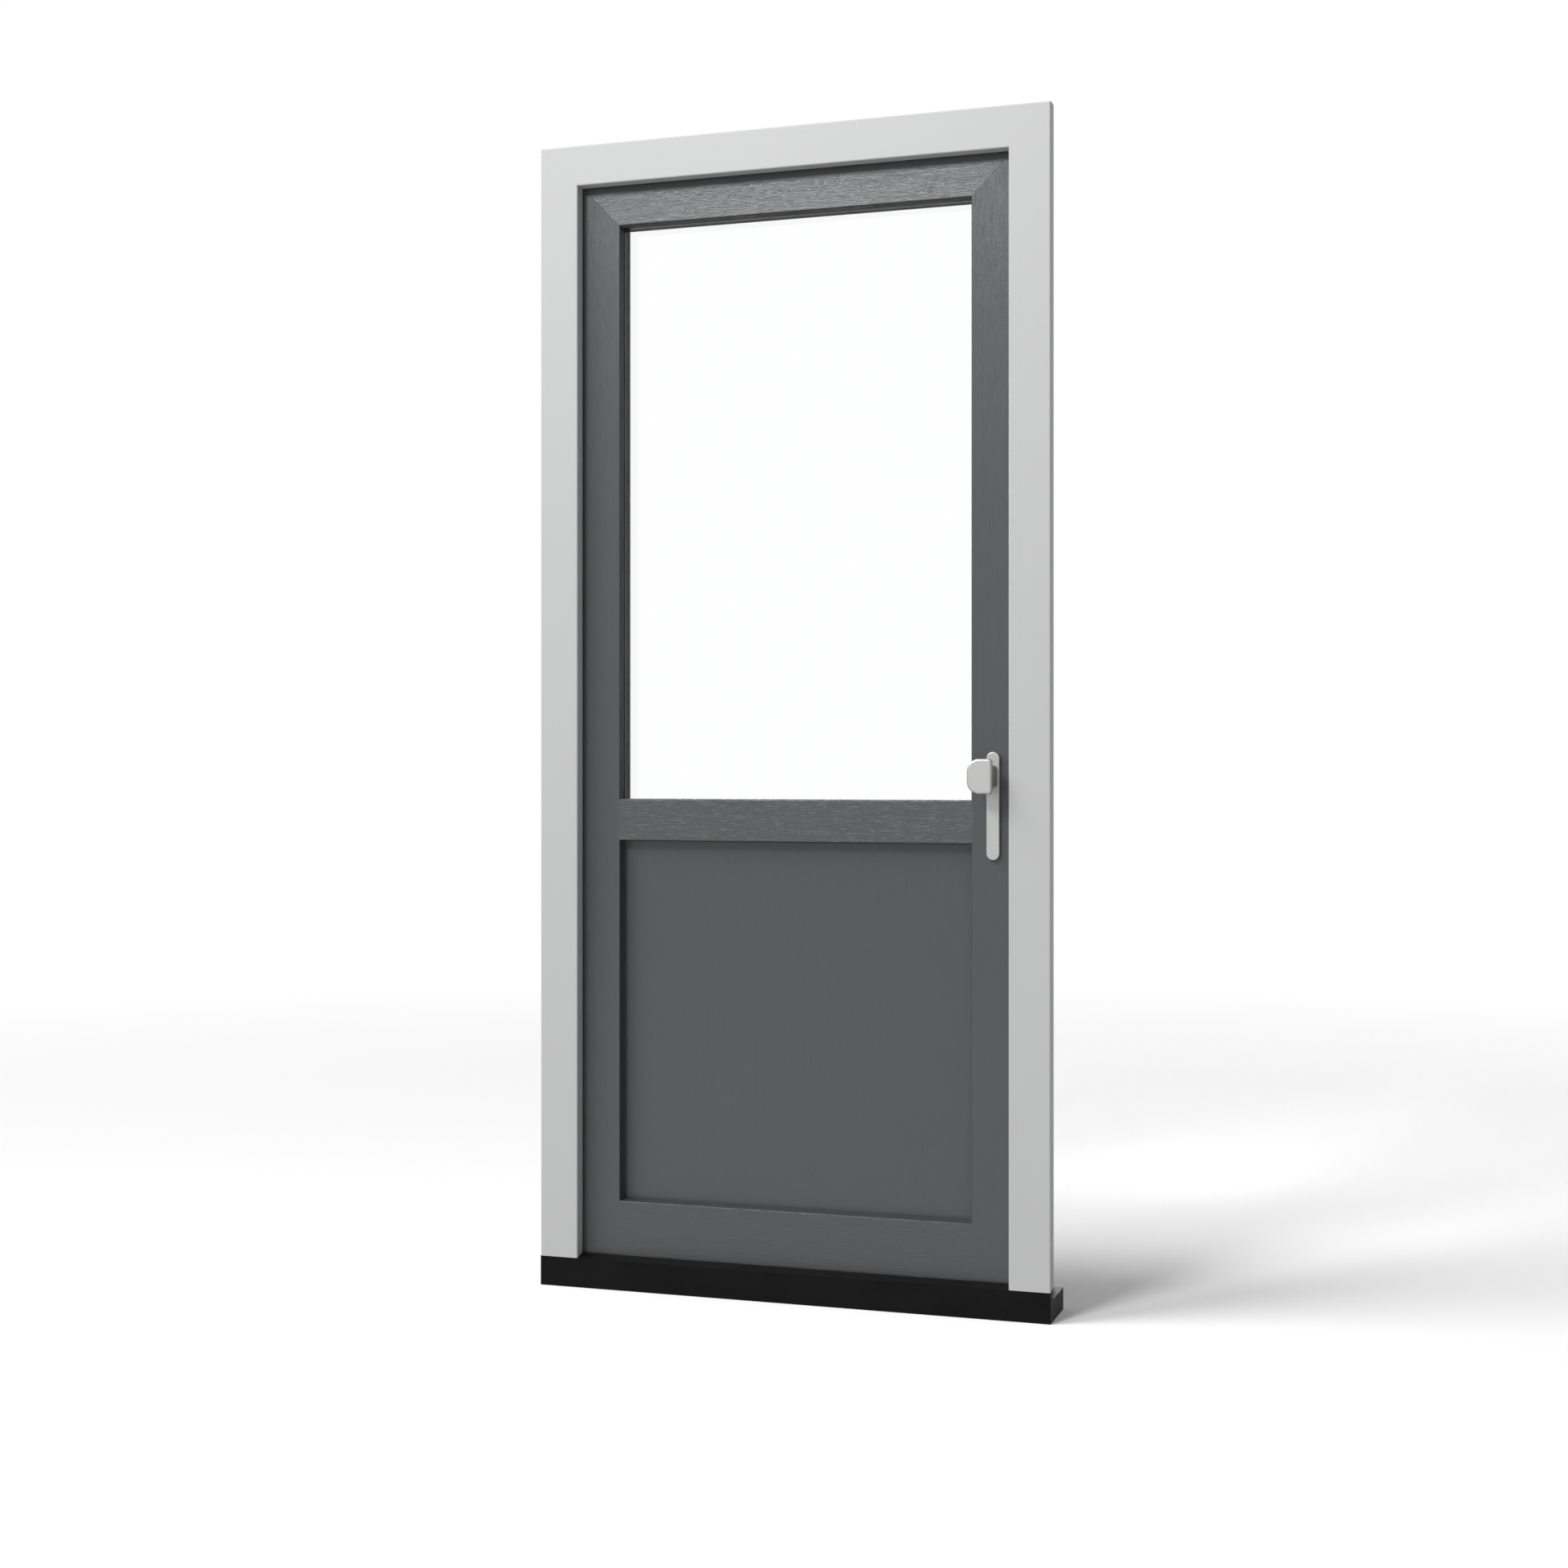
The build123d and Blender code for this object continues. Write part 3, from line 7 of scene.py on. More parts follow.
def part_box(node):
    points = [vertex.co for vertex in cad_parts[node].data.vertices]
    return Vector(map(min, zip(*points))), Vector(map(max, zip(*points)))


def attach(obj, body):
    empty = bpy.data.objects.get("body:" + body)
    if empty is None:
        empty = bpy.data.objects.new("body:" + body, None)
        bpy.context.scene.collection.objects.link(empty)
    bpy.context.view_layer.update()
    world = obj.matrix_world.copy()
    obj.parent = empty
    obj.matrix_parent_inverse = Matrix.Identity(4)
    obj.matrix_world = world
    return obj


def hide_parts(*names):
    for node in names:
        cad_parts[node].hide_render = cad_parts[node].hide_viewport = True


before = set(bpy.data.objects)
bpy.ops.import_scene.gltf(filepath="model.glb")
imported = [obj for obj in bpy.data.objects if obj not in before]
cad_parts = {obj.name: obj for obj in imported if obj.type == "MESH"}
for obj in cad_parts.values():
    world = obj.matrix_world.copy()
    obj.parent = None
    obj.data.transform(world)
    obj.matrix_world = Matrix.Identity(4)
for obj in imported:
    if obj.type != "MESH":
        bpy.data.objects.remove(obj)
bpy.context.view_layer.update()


# Frame jambs and head: hollow plastic profile in pale grey, extruded in long bars, sawn at 45 degrees
# and welded at the top corners. The die leaves faint lines along each bar, and the weld, scraped
# flat, leaves a fine line across each corner.
class Wire:
    """Output of a shader node: sums and products of wires add Math nodes to the same material."""

    def __init__(self, tree, socket=None):
        self.tree = tree
        self.socket = socket

    def node(self, kind, settings=(), sockets=(), output=0):
        """Any node by its type: first its settings, then the values or links of its sockets."""
        made = self.tree.nodes.new(kind)
        for name, setting in dict(settings).items():
            setattr(made, name, setting)
        for name, given in dict(sockets).items():
            if isinstance(given, Wire):
                self.tree.links.new(given.socket, made.inputs[name])
            else:
                made.inputs[name].default_value = given
        return Wire(self.tree, made.outputs[output])

    def to(self, shader, socket):
        self.tree.links.new(self.socket, shader.inputs[socket])

    def maths(self, operation, *terms):
        return self.node("ShaderNodeMath", {"operation": operation}, enumerate(terms))

    def __add__(self, other):
        return self.maths("ADD", self, other)

    def __sub__(self, other):
        return self.maths("SUBTRACT", self, other)

    def __rsub__(self, other):
        return self.maths("SUBTRACT", other, self)

    def __mul__(self, other):
        return self.maths("MULTIPLY", self, other)

    def __truediv__(self, other):
        return self.maths("DIVIDE", self, other)

    def __abs__(self):
        return self.maths("ABSOLUTE", self)

    __radd__ = __add__
    __rmul__ = __mul__

    def clipped(self):
        return self.node("ShaderNodeClamp", (), {"Value": self})

    def place(self):
        """Place on the piece itself, in metres."""
        return self.node("ShaderNodeTexCoord", output="Object")

    def axes(self):
        """X, Y and Z of the place on the piece."""
        place = self.place()
        return [place.node("ShaderNodeSeparateXYZ", (), {0: place}, axis) for axis in range(3)]

    def noise(self, sizes, detail=2.0):
        """Cloudy pattern from 0 to 1 whose spots have the given sizes in metres along X, Y and Z."""
        scale = tuple(1 / size for size in sizes)
        spread = self.node("ShaderNodeMapping", (), {"Vector": self.place(), "Scale": scale})
        return self.node("ShaderNodeTexNoise", (), {"Vector": spread, "Scale": 1.0, "Detail": detail})

    def between(self, low, high):
        """Colour between two colours, with this wire as the share of the second."""
        return self.node("ShaderNodeMix", {"data_type": "RGBA"}, {0: self, 6: low, 7: high}, 2)

    def bumps(self, depth):
        """Surface tilted by this wire as a height, its full range being a depth in metres."""
        return self.node("ShaderNodeBump", (), {"Height": self, "Distance": depth})


def new_finish(name, even):
    """Material whose even values stand on its shader's own sockets, its shader, and a wire to build on."""
    material = bpy.data.materials.new(name)
    material.use_nodes = True
    shader = material.node_tree.nodes["Principled BSDF"]
    for socket, value in even.items():
        shader.inputs[socket].default_value = value
    return material, shader, Wire(material.node_tree)


def tone_pair(colour, spread):
    """A colour a little darker and a little lighter."""
    return [tuple(part * share for part in colour) + (1,) for share in (1 - spread, 1 + spread)]


def coat(material, *nodes):
    """Gives pieces of the frame model their finish."""
    for node in nodes:
        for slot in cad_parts[node].material_slots:
            slot.material = material


def along(direction, length, width):
    """Sizes of a streak that runs along X, Y or Z."""
    return tuple(length if axis == direction else width for axis in "XYZ")


def evenly(size):
    """Sizes of a spot that is as large along X, Y and Z."""
    return (size, size, size)


def corner_line(start, width):
    """Mask of the weld line that falls from both top corners at 45 degrees."""
    x, _, z = start.axes()
    return (1 - abs(abs(x) - z + CORNER_HEIGHT) / width).clipped()


head_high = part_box("frame_head")[1]
CORNER_HEIGHT = head_high[2] - head_high[0]
FRAME_GREY = (0.468, 0.47, 0.472)
FRAME_SPREAD = 0.035
FRAME_CLOUD = 0.16
FRAME_ROUGHNESS = 0.45
FRAME_WELD = 0.0009
PLASTIC_IOR = 1.5
DIE_LINE_LENGTH = 0.9
DIE_LINE_WIDTH = 0.0022
DIE_LINE_DEPTH = 0.00004


def frame_plastic(direction):
    """Pale grey extruded plastic with die lines along one direction."""
    material, shader, start = new_finish("frame_plastic_" + direction, {"IOR": PLASTIC_IOR})
    lines = start.noise(along(direction, DIE_LINE_LENGTH, DIE_LINE_WIDTH), 3.0)
    clouds = start.noise(evenly(FRAME_CLOUD))
    weld = corner_line(start, FRAME_WELD)
    tone = (lines * 0.5 + clouds * 0.5 - weld * 0.8).clipped()
    tone.between(*tone_pair(FRAME_GREY, FRAME_SPREAD)).to(shader, "Base Color")
    (lines * 0.08 + clouds * 0.06 + FRAME_ROUGHNESS).to(shader, "Roughness")
    (lines - weld * 2).bumps(DIE_LINE_DEPTH).to(shader, "Normal")
    return material


coat(frame_plastic("Z"), "frame_jamb_hinge", "frame_jamb_lock")
coat(frame_plastic("X"), "frame_head")

# Threshold: bar of black glass-fibre composite, pressed with a matt pebbled skin. A plastic cap
# closes each end. Dust stays in its skin as pale patches.
THRESHOLD_BLACK = (0.003, 0.0031, 0.0032)
THRESHOLD_DUST = (0.007, 0.007, 0.0068)
THRESHOLD_GLOSS = 0.08
THRESHOLD_ROUGHNESS = 0.38
DUST_PATCH = (0.09, 0.05, 0.05)
PEBBLE = 0.0011
PEBBLE_DEPTH = 0.00012


def threshold_composite():
    """Black pebbled composite with a little dust."""
    even = {"IOR": PLASTIC_IOR, "Specular IOR Level": THRESHOLD_GLOSS}
    material, shader, start = new_finish("threshold_composite", even)
    pebbles = start.noise(evenly(PEBBLE), 3.0)
    patches = start.noise(DUST_PATCH, 4.0)
    dust = (patches * 1.6 - 0.55).clipped()
    dust.between(THRESHOLD_BLACK + (1,), THRESHOLD_DUST + (1,)).to(shader, "Base Color")
    (pebbles * 0.16 + dust * 0.12 + THRESHOLD_ROUGHNESS).to(shader, "Roughness")
    pebbles.bumps(PEBBLE_DEPTH).to(shader, "Normal")
    return material


coat(threshold_composite(), "threshold", "threshold_end_caps")

# Steel tubes inside the profiles, lock cases and drive rods: zinc-coated sheet, rolled and folded,
# with the spangle that the zinc leaves as it sets.
ZINC_GREY = (0.42, 0.43, 0.44)
ZINC_SPREAD = 0.12
ZINC_ROUGHNESS = 0.35
SPANGLE = 0.011


def zinc_coat():
    """Zinc with its spangle."""
    material, shader, start = new_finish("zinc_coat", {"Metallic": 1.0})
    scale = evenly(1 / SPANGLE)
    spread = start.node("ShaderNodeMapping", (), {"Vector": start.place(), "Scale": scale})
    spangle = start.node("ShaderNodeTexVoronoi", (), {"Vector": spread, "Scale": 1.0}, "Color")
    grey = start.node("ShaderNodeRGBToBW", (), {"Color": spangle})
    grey.between(*tone_pair(ZINC_GREY, ZINC_SPREAD)).to(shader, "Base Color")
    (grey * 0.2 + ZINC_ROUGHNESS).to(shader, "Roughness")
    return material


coat(zinc_coat(), "frame_steel", "leaf_steel", "lock_case", "hook_cases", "drive_rods")

# Stop gasket: soft black rubber extrusion, pushed with its foot into the groove of the frame's stop,
# its bulb and lip pressed by the leaf. The four lengths meet in mitred, welded corners.
RUBBER_BLACK = (0.0105, 0.0105, 0.011)
RUBBER_SPREAD = 0.3
RUBBER_IOR = 1.52
RUBBER_SKIN = 0.0014
RUBBER_SKIN_DEPTH = 0.00005
RUBBER_BLOOM = 0.05
RUBBER_ROUGHNESS = 0.45
GASKET_WIDTH = 0.008
GASKET_WEB = 0.0012
BULB_MIDDLE = 0.0052
BULB_RADIUS = 0.0024
LIP_ROOT = (0.0006, 0.0021)
LIP_TIP = (0.0005, 0.0011)
LIP_DROP = (0.0006, 0.0009)
SHARP_EDGE = math.radians(35)
ARC_STEPS = 8


def black_rubber():
    """Black rubber with a slightly bloomed skin."""
    material, shader, start = new_finish("black_rubber", {"IOR": RUBBER_IOR})
    skin = start.noise(evenly(RUBBER_SKIN), 3.0)
    bloom = start.noise(evenly(RUBBER_BLOOM))
    tone = skin * 0.4 + bloom * 0.6
    tone.between(*tone_pair(RUBBER_BLACK, RUBBER_SPREAD)).to(shader, "Base Color")
    (skin * 0.14 + bloom * 0.1 + RUBBER_ROUGHNESS).to(shader, "Roughness")
    skin.bumps(RUBBER_SKIN_DEPTH).to(shader, "Normal")
    return material


def new_piece(name, vertices, faces, material, slot):
    """Mesh object with one finish, its round faces shaded smooth and its edges kept sharp."""
    mesh = bpy.data.meshes.new(name)
    mesh.from_pydata(vertices, [], faces)
    mesh.materials.append(material)
    shaped = bmesh.new()
    shaped.from_mesh(mesh)
    bmesh.ops.recalc_face_normals(shaped, faces=shaped.faces)
    shaped.to_mesh(mesh)
    shaped.free()
    mesh.polygons.foreach_set("use_smooth", [True] * len(mesh.polygons))
    mesh.set_sharp_from_angle(angle=SHARP_EDGE)
    piece = bpy.data.objects.new(name, mesh)
    bpy.context.scene.collection.objects.link(piece)
    return piece


def arc(centre, radii, start, end, steps=ARC_STEPS):
    """Points of an elliptic arc between two angles in degrees."""
    turns = [math.radians(start + (end - start) * step / steps) for step in range(steps + 1)]
    return [(centre[0] + radii[0] * math.cos(t), centre[1] + radii[1] * math.sin(t)) for t in turns]


def ring(section, half, low, high):
    """Vertices and faces of a section run round a level-and-upright rectangle with mitred corners.

    A section point gives its distance inwards from the rectangle and its depth along Y.
    """
    vertices = []
    for inward, depth in section:
        x, bottom, top = half - inward, low + inward, high - inward
        vertices += [(-x, depth, bottom), (x, depth, bottom), (x, depth, top), (-x, depth, top)]
    count = len(section)
    faces = []
    for point in range(count):
        for corner in range(4):
            near, far = point * 4, (point + 1) % count * 4
            turn = (corner + 1) % 4
            faces.append((near + corner, near + turn, far + turn, far + corner))
    return vertices, faces


def joined(*meshes):
    """Several lists of vertices and faces as one."""
    vertices, faces = [], []
    for part_vertices, part_faces in meshes:
        shift = len(vertices)
        vertices += part_vertices
        faces += [tuple(corner + shift for corner in face) for face in part_faces]
    return vertices, faces


rubber = black_rubber()
gasket_low, gasket_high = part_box("frame_gasket")
gasket_foot = gasket_low[1]
gasket_touch = gasket_high[1]
gasket_web = gasket_foot + GASKET_WEB
gasket_section = [
    (0, gasket_foot),
    (GASKET_WIDTH, gasket_foot),
    (GASKET_WIDTH, gasket_web),
    *arc((BULB_MIDDLE, gasket_web), (BULB_RADIUS, gasket_touch - gasket_web), 0, 180),
    (LIP_ROOT[1], gasket_web),
    (LIP_TIP[1], gasket_touch - LIP_DROP[1]),
    (LIP_TIP[0], gasket_touch - LIP_DROP[0]),
    (LIP_ROOT[0], gasket_web),
    (0, gasket_web),
]
gasket = new_piece(
    "stop_gasket", *ring(gasket_section, gasket_high[0], gasket_low[2], gasket_high[2]), rubber, "gasket"
)
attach(gasket, "frame")
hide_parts("frame_gasket")

# Strike plates: stamped steel with a satin plating, brushed along their length, let into the lock jamb
# where the bolts and hooks enter it, and screwed through into the steel tube.
LOCK_STEEL = (0.5, 0.5, 0.49)
LOCK_BRUSH = 0.0004
LOCK_ROUGHNESS = 0.26
BRUSH_LENGTH = 0.06
BRUSH_DEPTH = 0.00003
BRUSH_SPREAD = 0.07
SMEAR = 0.03


def brushed_metal(name, colour, direction, width, roughness):
    """Metal with brush marks of a given width along one direction."""
    material, shader, start = new_finish(name, {"Metallic": 1.0})
    marks = start.noise(along(direction, BRUSH_LENGTH, width), 2.0)
    smears = start.noise(evenly(SMEAR))
    (marks * 0.7 + smears * 0.3).between(*tone_pair(colour, BRUSH_SPREAD)).to(shader, "Base Color")
    (marks * 0.12 + smears * 0.1 + roughness).to(shader, "Roughness")
    marks.bumps(BRUSH_DEPTH).to(shader, "Normal")
    return material


lock_steel = brushed_metal("lock_steel", LOCK_STEEL, "Z", LOCK_BRUSH, LOCK_ROUGHNESS)
coat(lock_steel, "strike_plate_main", "hook_strikes")

# Leaf stiles, rails and beads: hollow profile of dark plastic, its faces covered with an anthracite foil
# whose embossed grain runs along each bar. The sides of stiles and rails are matt and painted darker, as
# painted shade in the reveals. Stiles and top rail are mitred and welded, the lower rails butt on them,
# and the beads are clipped in from inside.
FOIL_GREY = (0.05, 0.053, 0.056)
FOIL_SPREAD = 0.16
FOIL_GLOSS = 0.6
FOIL_ROUGHNESS = 0.22
FOIL_CLOUD = 0.2
# Dark colour painted on the sides of stiles and rails as painted shade in their reveals; those sides are
# also rougher.
SIDE_SHADE_DARK = (0.02, 0.021, 0.022)
SIDE_ROUGHER = 0.45
SIDE_START = 0.98
SIDE_FULL = 0.8
FOIL_WELD = 0.0006
PORE_LENGTH = 0.03
PORE_WIDTH = 0.0008
STRAND_LENGTH = 0.35
STRAND_WIDTH = 0.006
GRAIN_DEPTH = 0.00045


def bar_sides(start):
    """1 on the sides of a bar, 0 on its outside and inside faces."""
    facing = start.node("ShaderNodeTexCoord", output="Normal")
    depth = start.node("ShaderNodeSeparateXYZ", (), {0: facing}, 1)
    return ((SIDE_START - abs(depth)) / (SIDE_START - SIDE_FULL)).clipped()


def foil(name, direction, side_shade_share):
    """Anthracite foil with pores along one direction, and how far a bar's sides get painted shade: a darker,
    rougher colour for the reveals.
    """
    even = {"IOR": PLASTIC_IOR, "Specular IOR Level": FOIL_GLOSS}
    material, shader, start = new_finish("foil_" + name, even)
    pores = start.noise(along(direction, PORE_LENGTH, PORE_WIDTH), 3.0)
    strands = start.noise(along(direction, STRAND_LENGTH, STRAND_WIDTH), 3.0)
    clouds = start.noise(evenly(FOIL_CLOUD))
    weld = corner_line(start, FOIL_WELD)
    tone = (pores * 0.4 + strands * 0.35 + clouds * 0.25 - weld * 0.7).clipped()
    # Painted shade: the sides of stiles and rails get a darker colour that stands in for the shade in the
    # reveals, and more roughness.
    painted_side_shade = bar_sides(start) * side_shade_share
    foiled = tone.between(*tone_pair(FOIL_GREY, FOIL_SPREAD))
    painted_side_shade.between(foiled, SIDE_SHADE_DARK + (1,)).to(shader, "Base Color")
    (pores * 0.1 + strands * 0.06 + painted_side_shade * SIDE_ROUGHER + FOIL_ROUGHNESS).to(shader, "Roughness")
    (pores + strands * 0.2 - weld * 0.5).bumps(GRAIN_DEPTH).to(shader, "Normal")
    return material


coat(foil("stiles", "Z", 1), "leaf_stile_hinge", "leaf_stile_lock")
coat(foil("rails", "X", 1), "leaf_rail_top", "leaf_rail_mid", "leaf_rail_bottom")
upright_foil = foil("upright", "Z", 0)
level_foil = foil("level", "X", 0)
for field in ("glass", "panel"):
    coat(upright_foil, field + "_bead_hinge_side", field + "_bead_lock_side")
    coat(level_foil, field + "_bead_top", field + "_bead_bottom")

# Infill panel: foam core between two plastic skins under the same foil, its grain upright, held in the
# lower opening by the beads.
coat(upright_foil, "infill_panel")

# Sealed glass unit: two panes of clear float glass, glued to a black hollow spacer along their edge and
# stood on hard plastic blocks. Float glass is flat to within a slow, very slight wave.
GLASS_TINT = (0.993, 0.998, 0.995, 1)
GLASS_IOR = 1.45
GLASS_WAVE = 0.35
GLASS_WAVE_DEPTH = 0.00002
SPACER_BLACK = (0.02, 0.02, 0.02)
SPACER_BRUSH = 0.0006
SPACER_ROUGHNESS = 0.35
BLOCK_BLACK = (0.03, 0.03, 0.03)
MOULDED_SPREAD = 0.08
MOULDED_SKIN = 0.0009
MOULDED_DEPTH = 0.00003
MOULDED_ROUGHNESS = 0.45


def clear_glass():
    """Clear glass that lets the light of the lamps through."""
    even = {"Transmission Weight": 1.0, "Roughness": 0.0, "IOR": GLASS_IOR, "Base Color": GLASS_TINT}
    material, shader, start = new_finish("clear_glass", even)
    start.noise(evenly(GLASS_WAVE)).bumps(GLASS_WAVE_DEPTH).to(shader, "Normal")
    surface = Wire(material.node_tree, shader.outputs[0])
    lamp_ray = start.node("ShaderNodeLightPath", output="Is Shadow Ray")
    clear = start.node("ShaderNodeBsdfTransparent")
    seen = start.node("ShaderNodeMixShader", (), {0: lamp_ray, 1: surface, 2: clear})
    seen.to(material.node_tree.nodes["Material Output"], "Surface")
    return material


def moulded_plastic(name, colour):
    """Plain moulded plastic with a fine skin."""
    material, shader, start = new_finish(name, {"IOR": PLASTIC_IOR})
    skin = start.noise(evenly(MOULDED_SKIN), 2.0)
    skin.between(*tone_pair(colour, MOULDED_SPREAD)).to(shader, "Base Color")
    (skin * 0.1 + MOULDED_ROUGHNESS).to(shader, "Roughness")
    skin.bumps(MOULDED_DEPTH).to(shader, "Normal")
    return material


coat(clear_glass(), "glass_outer_pane", "glass_inner_pane")
coat(brushed_metal("black_spacer", SPACER_BLACK, "Z", SPACER_BRUSH, SPACER_ROUGHNESS), "glass_spacer")
dark_plastic = moulded_plastic("dark_plastic", BLOCK_BLACK)
coat(dark_plastic, "setting_blocks")

# Glazing seals: black rubber wedges round glass and panel, one against the outer lip of the leaf and one
# on the beads, with a rounded nose at the sight line, which shows past it round the panel, and ribs that
# grip the pane.
glazing_low, glazing_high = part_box("glazing_seals")
GLASS_SEAL = 0.0095
PANEL_SEAL = 0.0115
OUTSIDE_WEDGE = 0.004
INSIDE_WEDGE = 0.003
MID_RAIL_SEALS = (0.871, 0.931)
NOSE = 0.0012
RIB_WIDTH = 0.0009
RIB_DEPTH = 0.0005
RIB_PLACES = (0.0022, 0.0044, 0.0066)


def wedge_section(width, back, pane):
    """Section of a wedge between a profile and a pane, its nose at the inner end, ribs on the pane side."""
    across = pane - back
    nose = arc((width - NOSE, back + across / 2), (NOSE, across / 2), -90, 90)
    grooves = []
    for place in reversed(RIB_PLACES):
        floor = pane - math.copysign(RIB_DEPTH, across)
        grooves += [(place + RIB_WIDTH / 2, pane), (place + RIB_WIDTH / 4, floor)]
        grooves += [(place - RIB_WIDTH / 4, floor), (place - RIB_WIDTH / 2, pane)]
    return [(0, back), *nose, *grooves, (0, pane)]


outside_seal = (glazing_low[1], glazing_low[1] + OUTSIDE_WEDGE)
inside_seal = (glazing_high[1], glazing_high[1] - INSIDE_WEDGE)
glass_field = (GLASS_SEAL, MID_RAIL_SEALS[1], glazing_high[2])
panel_field = (PANEL_SEAL, glazing_low[2], MID_RAIL_SEALS[0])
glazing_rings = [
    ring(wedge_section(width, *side), glazing_high[0], bottom, top)
    for side in (outside_seal, inside_seal)
    for width, bottom, top in (glass_field, panel_field)
]
glazing = new_piece("glazing_wedges", *joined(*glazing_rings), rubber, "gasket")
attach(glazing, "leaf")
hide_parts("glazing_seals")

# Bottom seal: rubber strip clipped under the bottom rail, with two thin blades that wipe over the
# threshold when the leaf swings.
sweep_low, sweep_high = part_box("leaf_bottom_seal")
STRIP_HEIGHT = 0.0032
BLADE = 0.0011
BLADE_LEAN = 0.0016
BLADE_INSETS = (0.003, 0.0015)


def run(section, start, end):
    """Vertices and faces of a section of Y and Z run straight along X, closed at both ends."""
    count = len(section)
    vertices = [(x, y, z) for x in (start, end) for y, z in section]
    sides = [(p, (p + 1) % count, count + (p + 1) % count, count + p) for p in range(count)]
    return vertices, sides + [tuple(range(count)), tuple(range(count, 2 * count))]


strip_foot = sweep_high[2] - STRIP_HEIGHT
blade_roots = (sweep_low[1] + BLADE_INSETS[0], sweep_high[1] - BLADE_INSETS[1])
sweep_section = [(sweep_low[1], sweep_high[2]), (sweep_low[1], strip_foot)]
for root in blade_roots:
    tip = root - BLADE_LEAN
    sweep_section += [(root - BLADE, strip_foot), (tip - BLADE / 2, sweep_low[2] + BLADE / 2)]
    sweep_section += [(tip, sweep_low[2]), (root, strip_foot)]
sweep_section += [(sweep_high[1], strip_foot), (sweep_high[1], sweep_high[2])]
sweep = new_piece("bottom_wiper", *run(sweep_section, sweep_low[0], sweep_high[0]), rubber, "gasket")
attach(sweep, "leaf")
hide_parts("leaf_bottom_seal")

# Hinges: steel plates and knuckles under an anthracite powder coat, with its slight orange peel,
# screwed to jamb and stile from inside. The capped pins turn in plastic bushes.
HINGE_GREY = (0.1, 0.105, 0.11)
HINGE_SPREAD = 0.06
HINGE_CLOUD = 0.02
HINGE_ROUGHNESS = 0.4
PEEL = 0.0016
PEEL_DEPTH = 0.00006


def powder_coat():
    """Anthracite powder coat with orange peel."""
    material, shader, start = new_finish("powder_coat", {"IOR": PLASTIC_IOR})
    peel = start.noise(evenly(PEEL), 2.0)
    clouds = start.noise(evenly(HINGE_CLOUD))
    clouds.between(*tone_pair(HINGE_GREY, HINGE_SPREAD)).to(shader, "Base Color")
    (peel * 0.1 + HINGE_ROUGHNESS).to(shader, "Roughness")
    peel.bumps(PEEL_DEPTH).to(shader, "Normal")
    return material


hinge_coat = powder_coat()
coat(hinge_coat, "hinge_pins")
for height in ("top", "middle", "bottom"):
    coat(hinge_coat, "hinge_frame_plate_" + height, "hinge_leaf_plate_" + height)
coat(dark_plastic, "hinge_bushes")

# Lock: brushed steel faceplate in the edge of the leaf, latch bolt, deadbolt and hooks of hardened
# steel, and the square spindle with its follower.
coat(lock_steel, "lock_faceplate", "latch_bolt", "deadbolt", "hook_top", "hook_bottom")
coat(lock_steel, "follower", "spindle")

# Key cylinder: half cylinder of nickel-plated brass that serves the inside, its plug turned by a key,
# held by one long screw through the faceplate.
NICKEL = (0.5, 0.49, 0.46)
NICKEL_BRUSH = 0.0004
NICKEL_ROUGHNESS = 0.24
nickel = brushed_metal("satin_nickel", NICKEL, "X", NICKEL_BRUSH, NICKEL_ROUGHNESS)
coat(nickel, "cylinder_body", "key_plug", "key_cam")

# Handles: narrow round-ended plates of satin aluminium on both faces, screwed together through the
# stile, with a cast D-shaped grip fixed outside and a turned knob inside.
SATIN = (0.36, 0.36, 0.355)
SATIN_BRUSH = 0.0005
SATIN_ROUGHNESS = 0.4
satin = brushed_metal("satin_aluminium", SATIN, "Z", SATIN_BRUSH, SATIN_ROUGHNESS)
coat(satin, "outside_plate", "inside_plate", "outside_grip", "inside_knob")

# Screws: countersunk steel screws with a cross recess, zinc plated, one at each place where the frame
# model has a plain one.
SCREW_STEEL = (0.46, 0.46, 0.45)
SCREW_BRUSH = 0.0003
SCREW_ROUGHNESS = 0.3
SCREW_BODIES = {
    "frame_screws": "frame",
    "leaf_screws": "leaf",
    "plate_screws": "leaf",
    "cylinder_screw": "leaf",
}
SCREW_TURN = 32
SAME_POINT = 0.000001
SAME_END = 0.0001
HEAD_EDGE = 0.00012
CROSS_ARM = 0.0024
CROSS_HALF = 0.00055
CROSS_DEPTH = 0.0014
CROSS_TAPER = 0.6


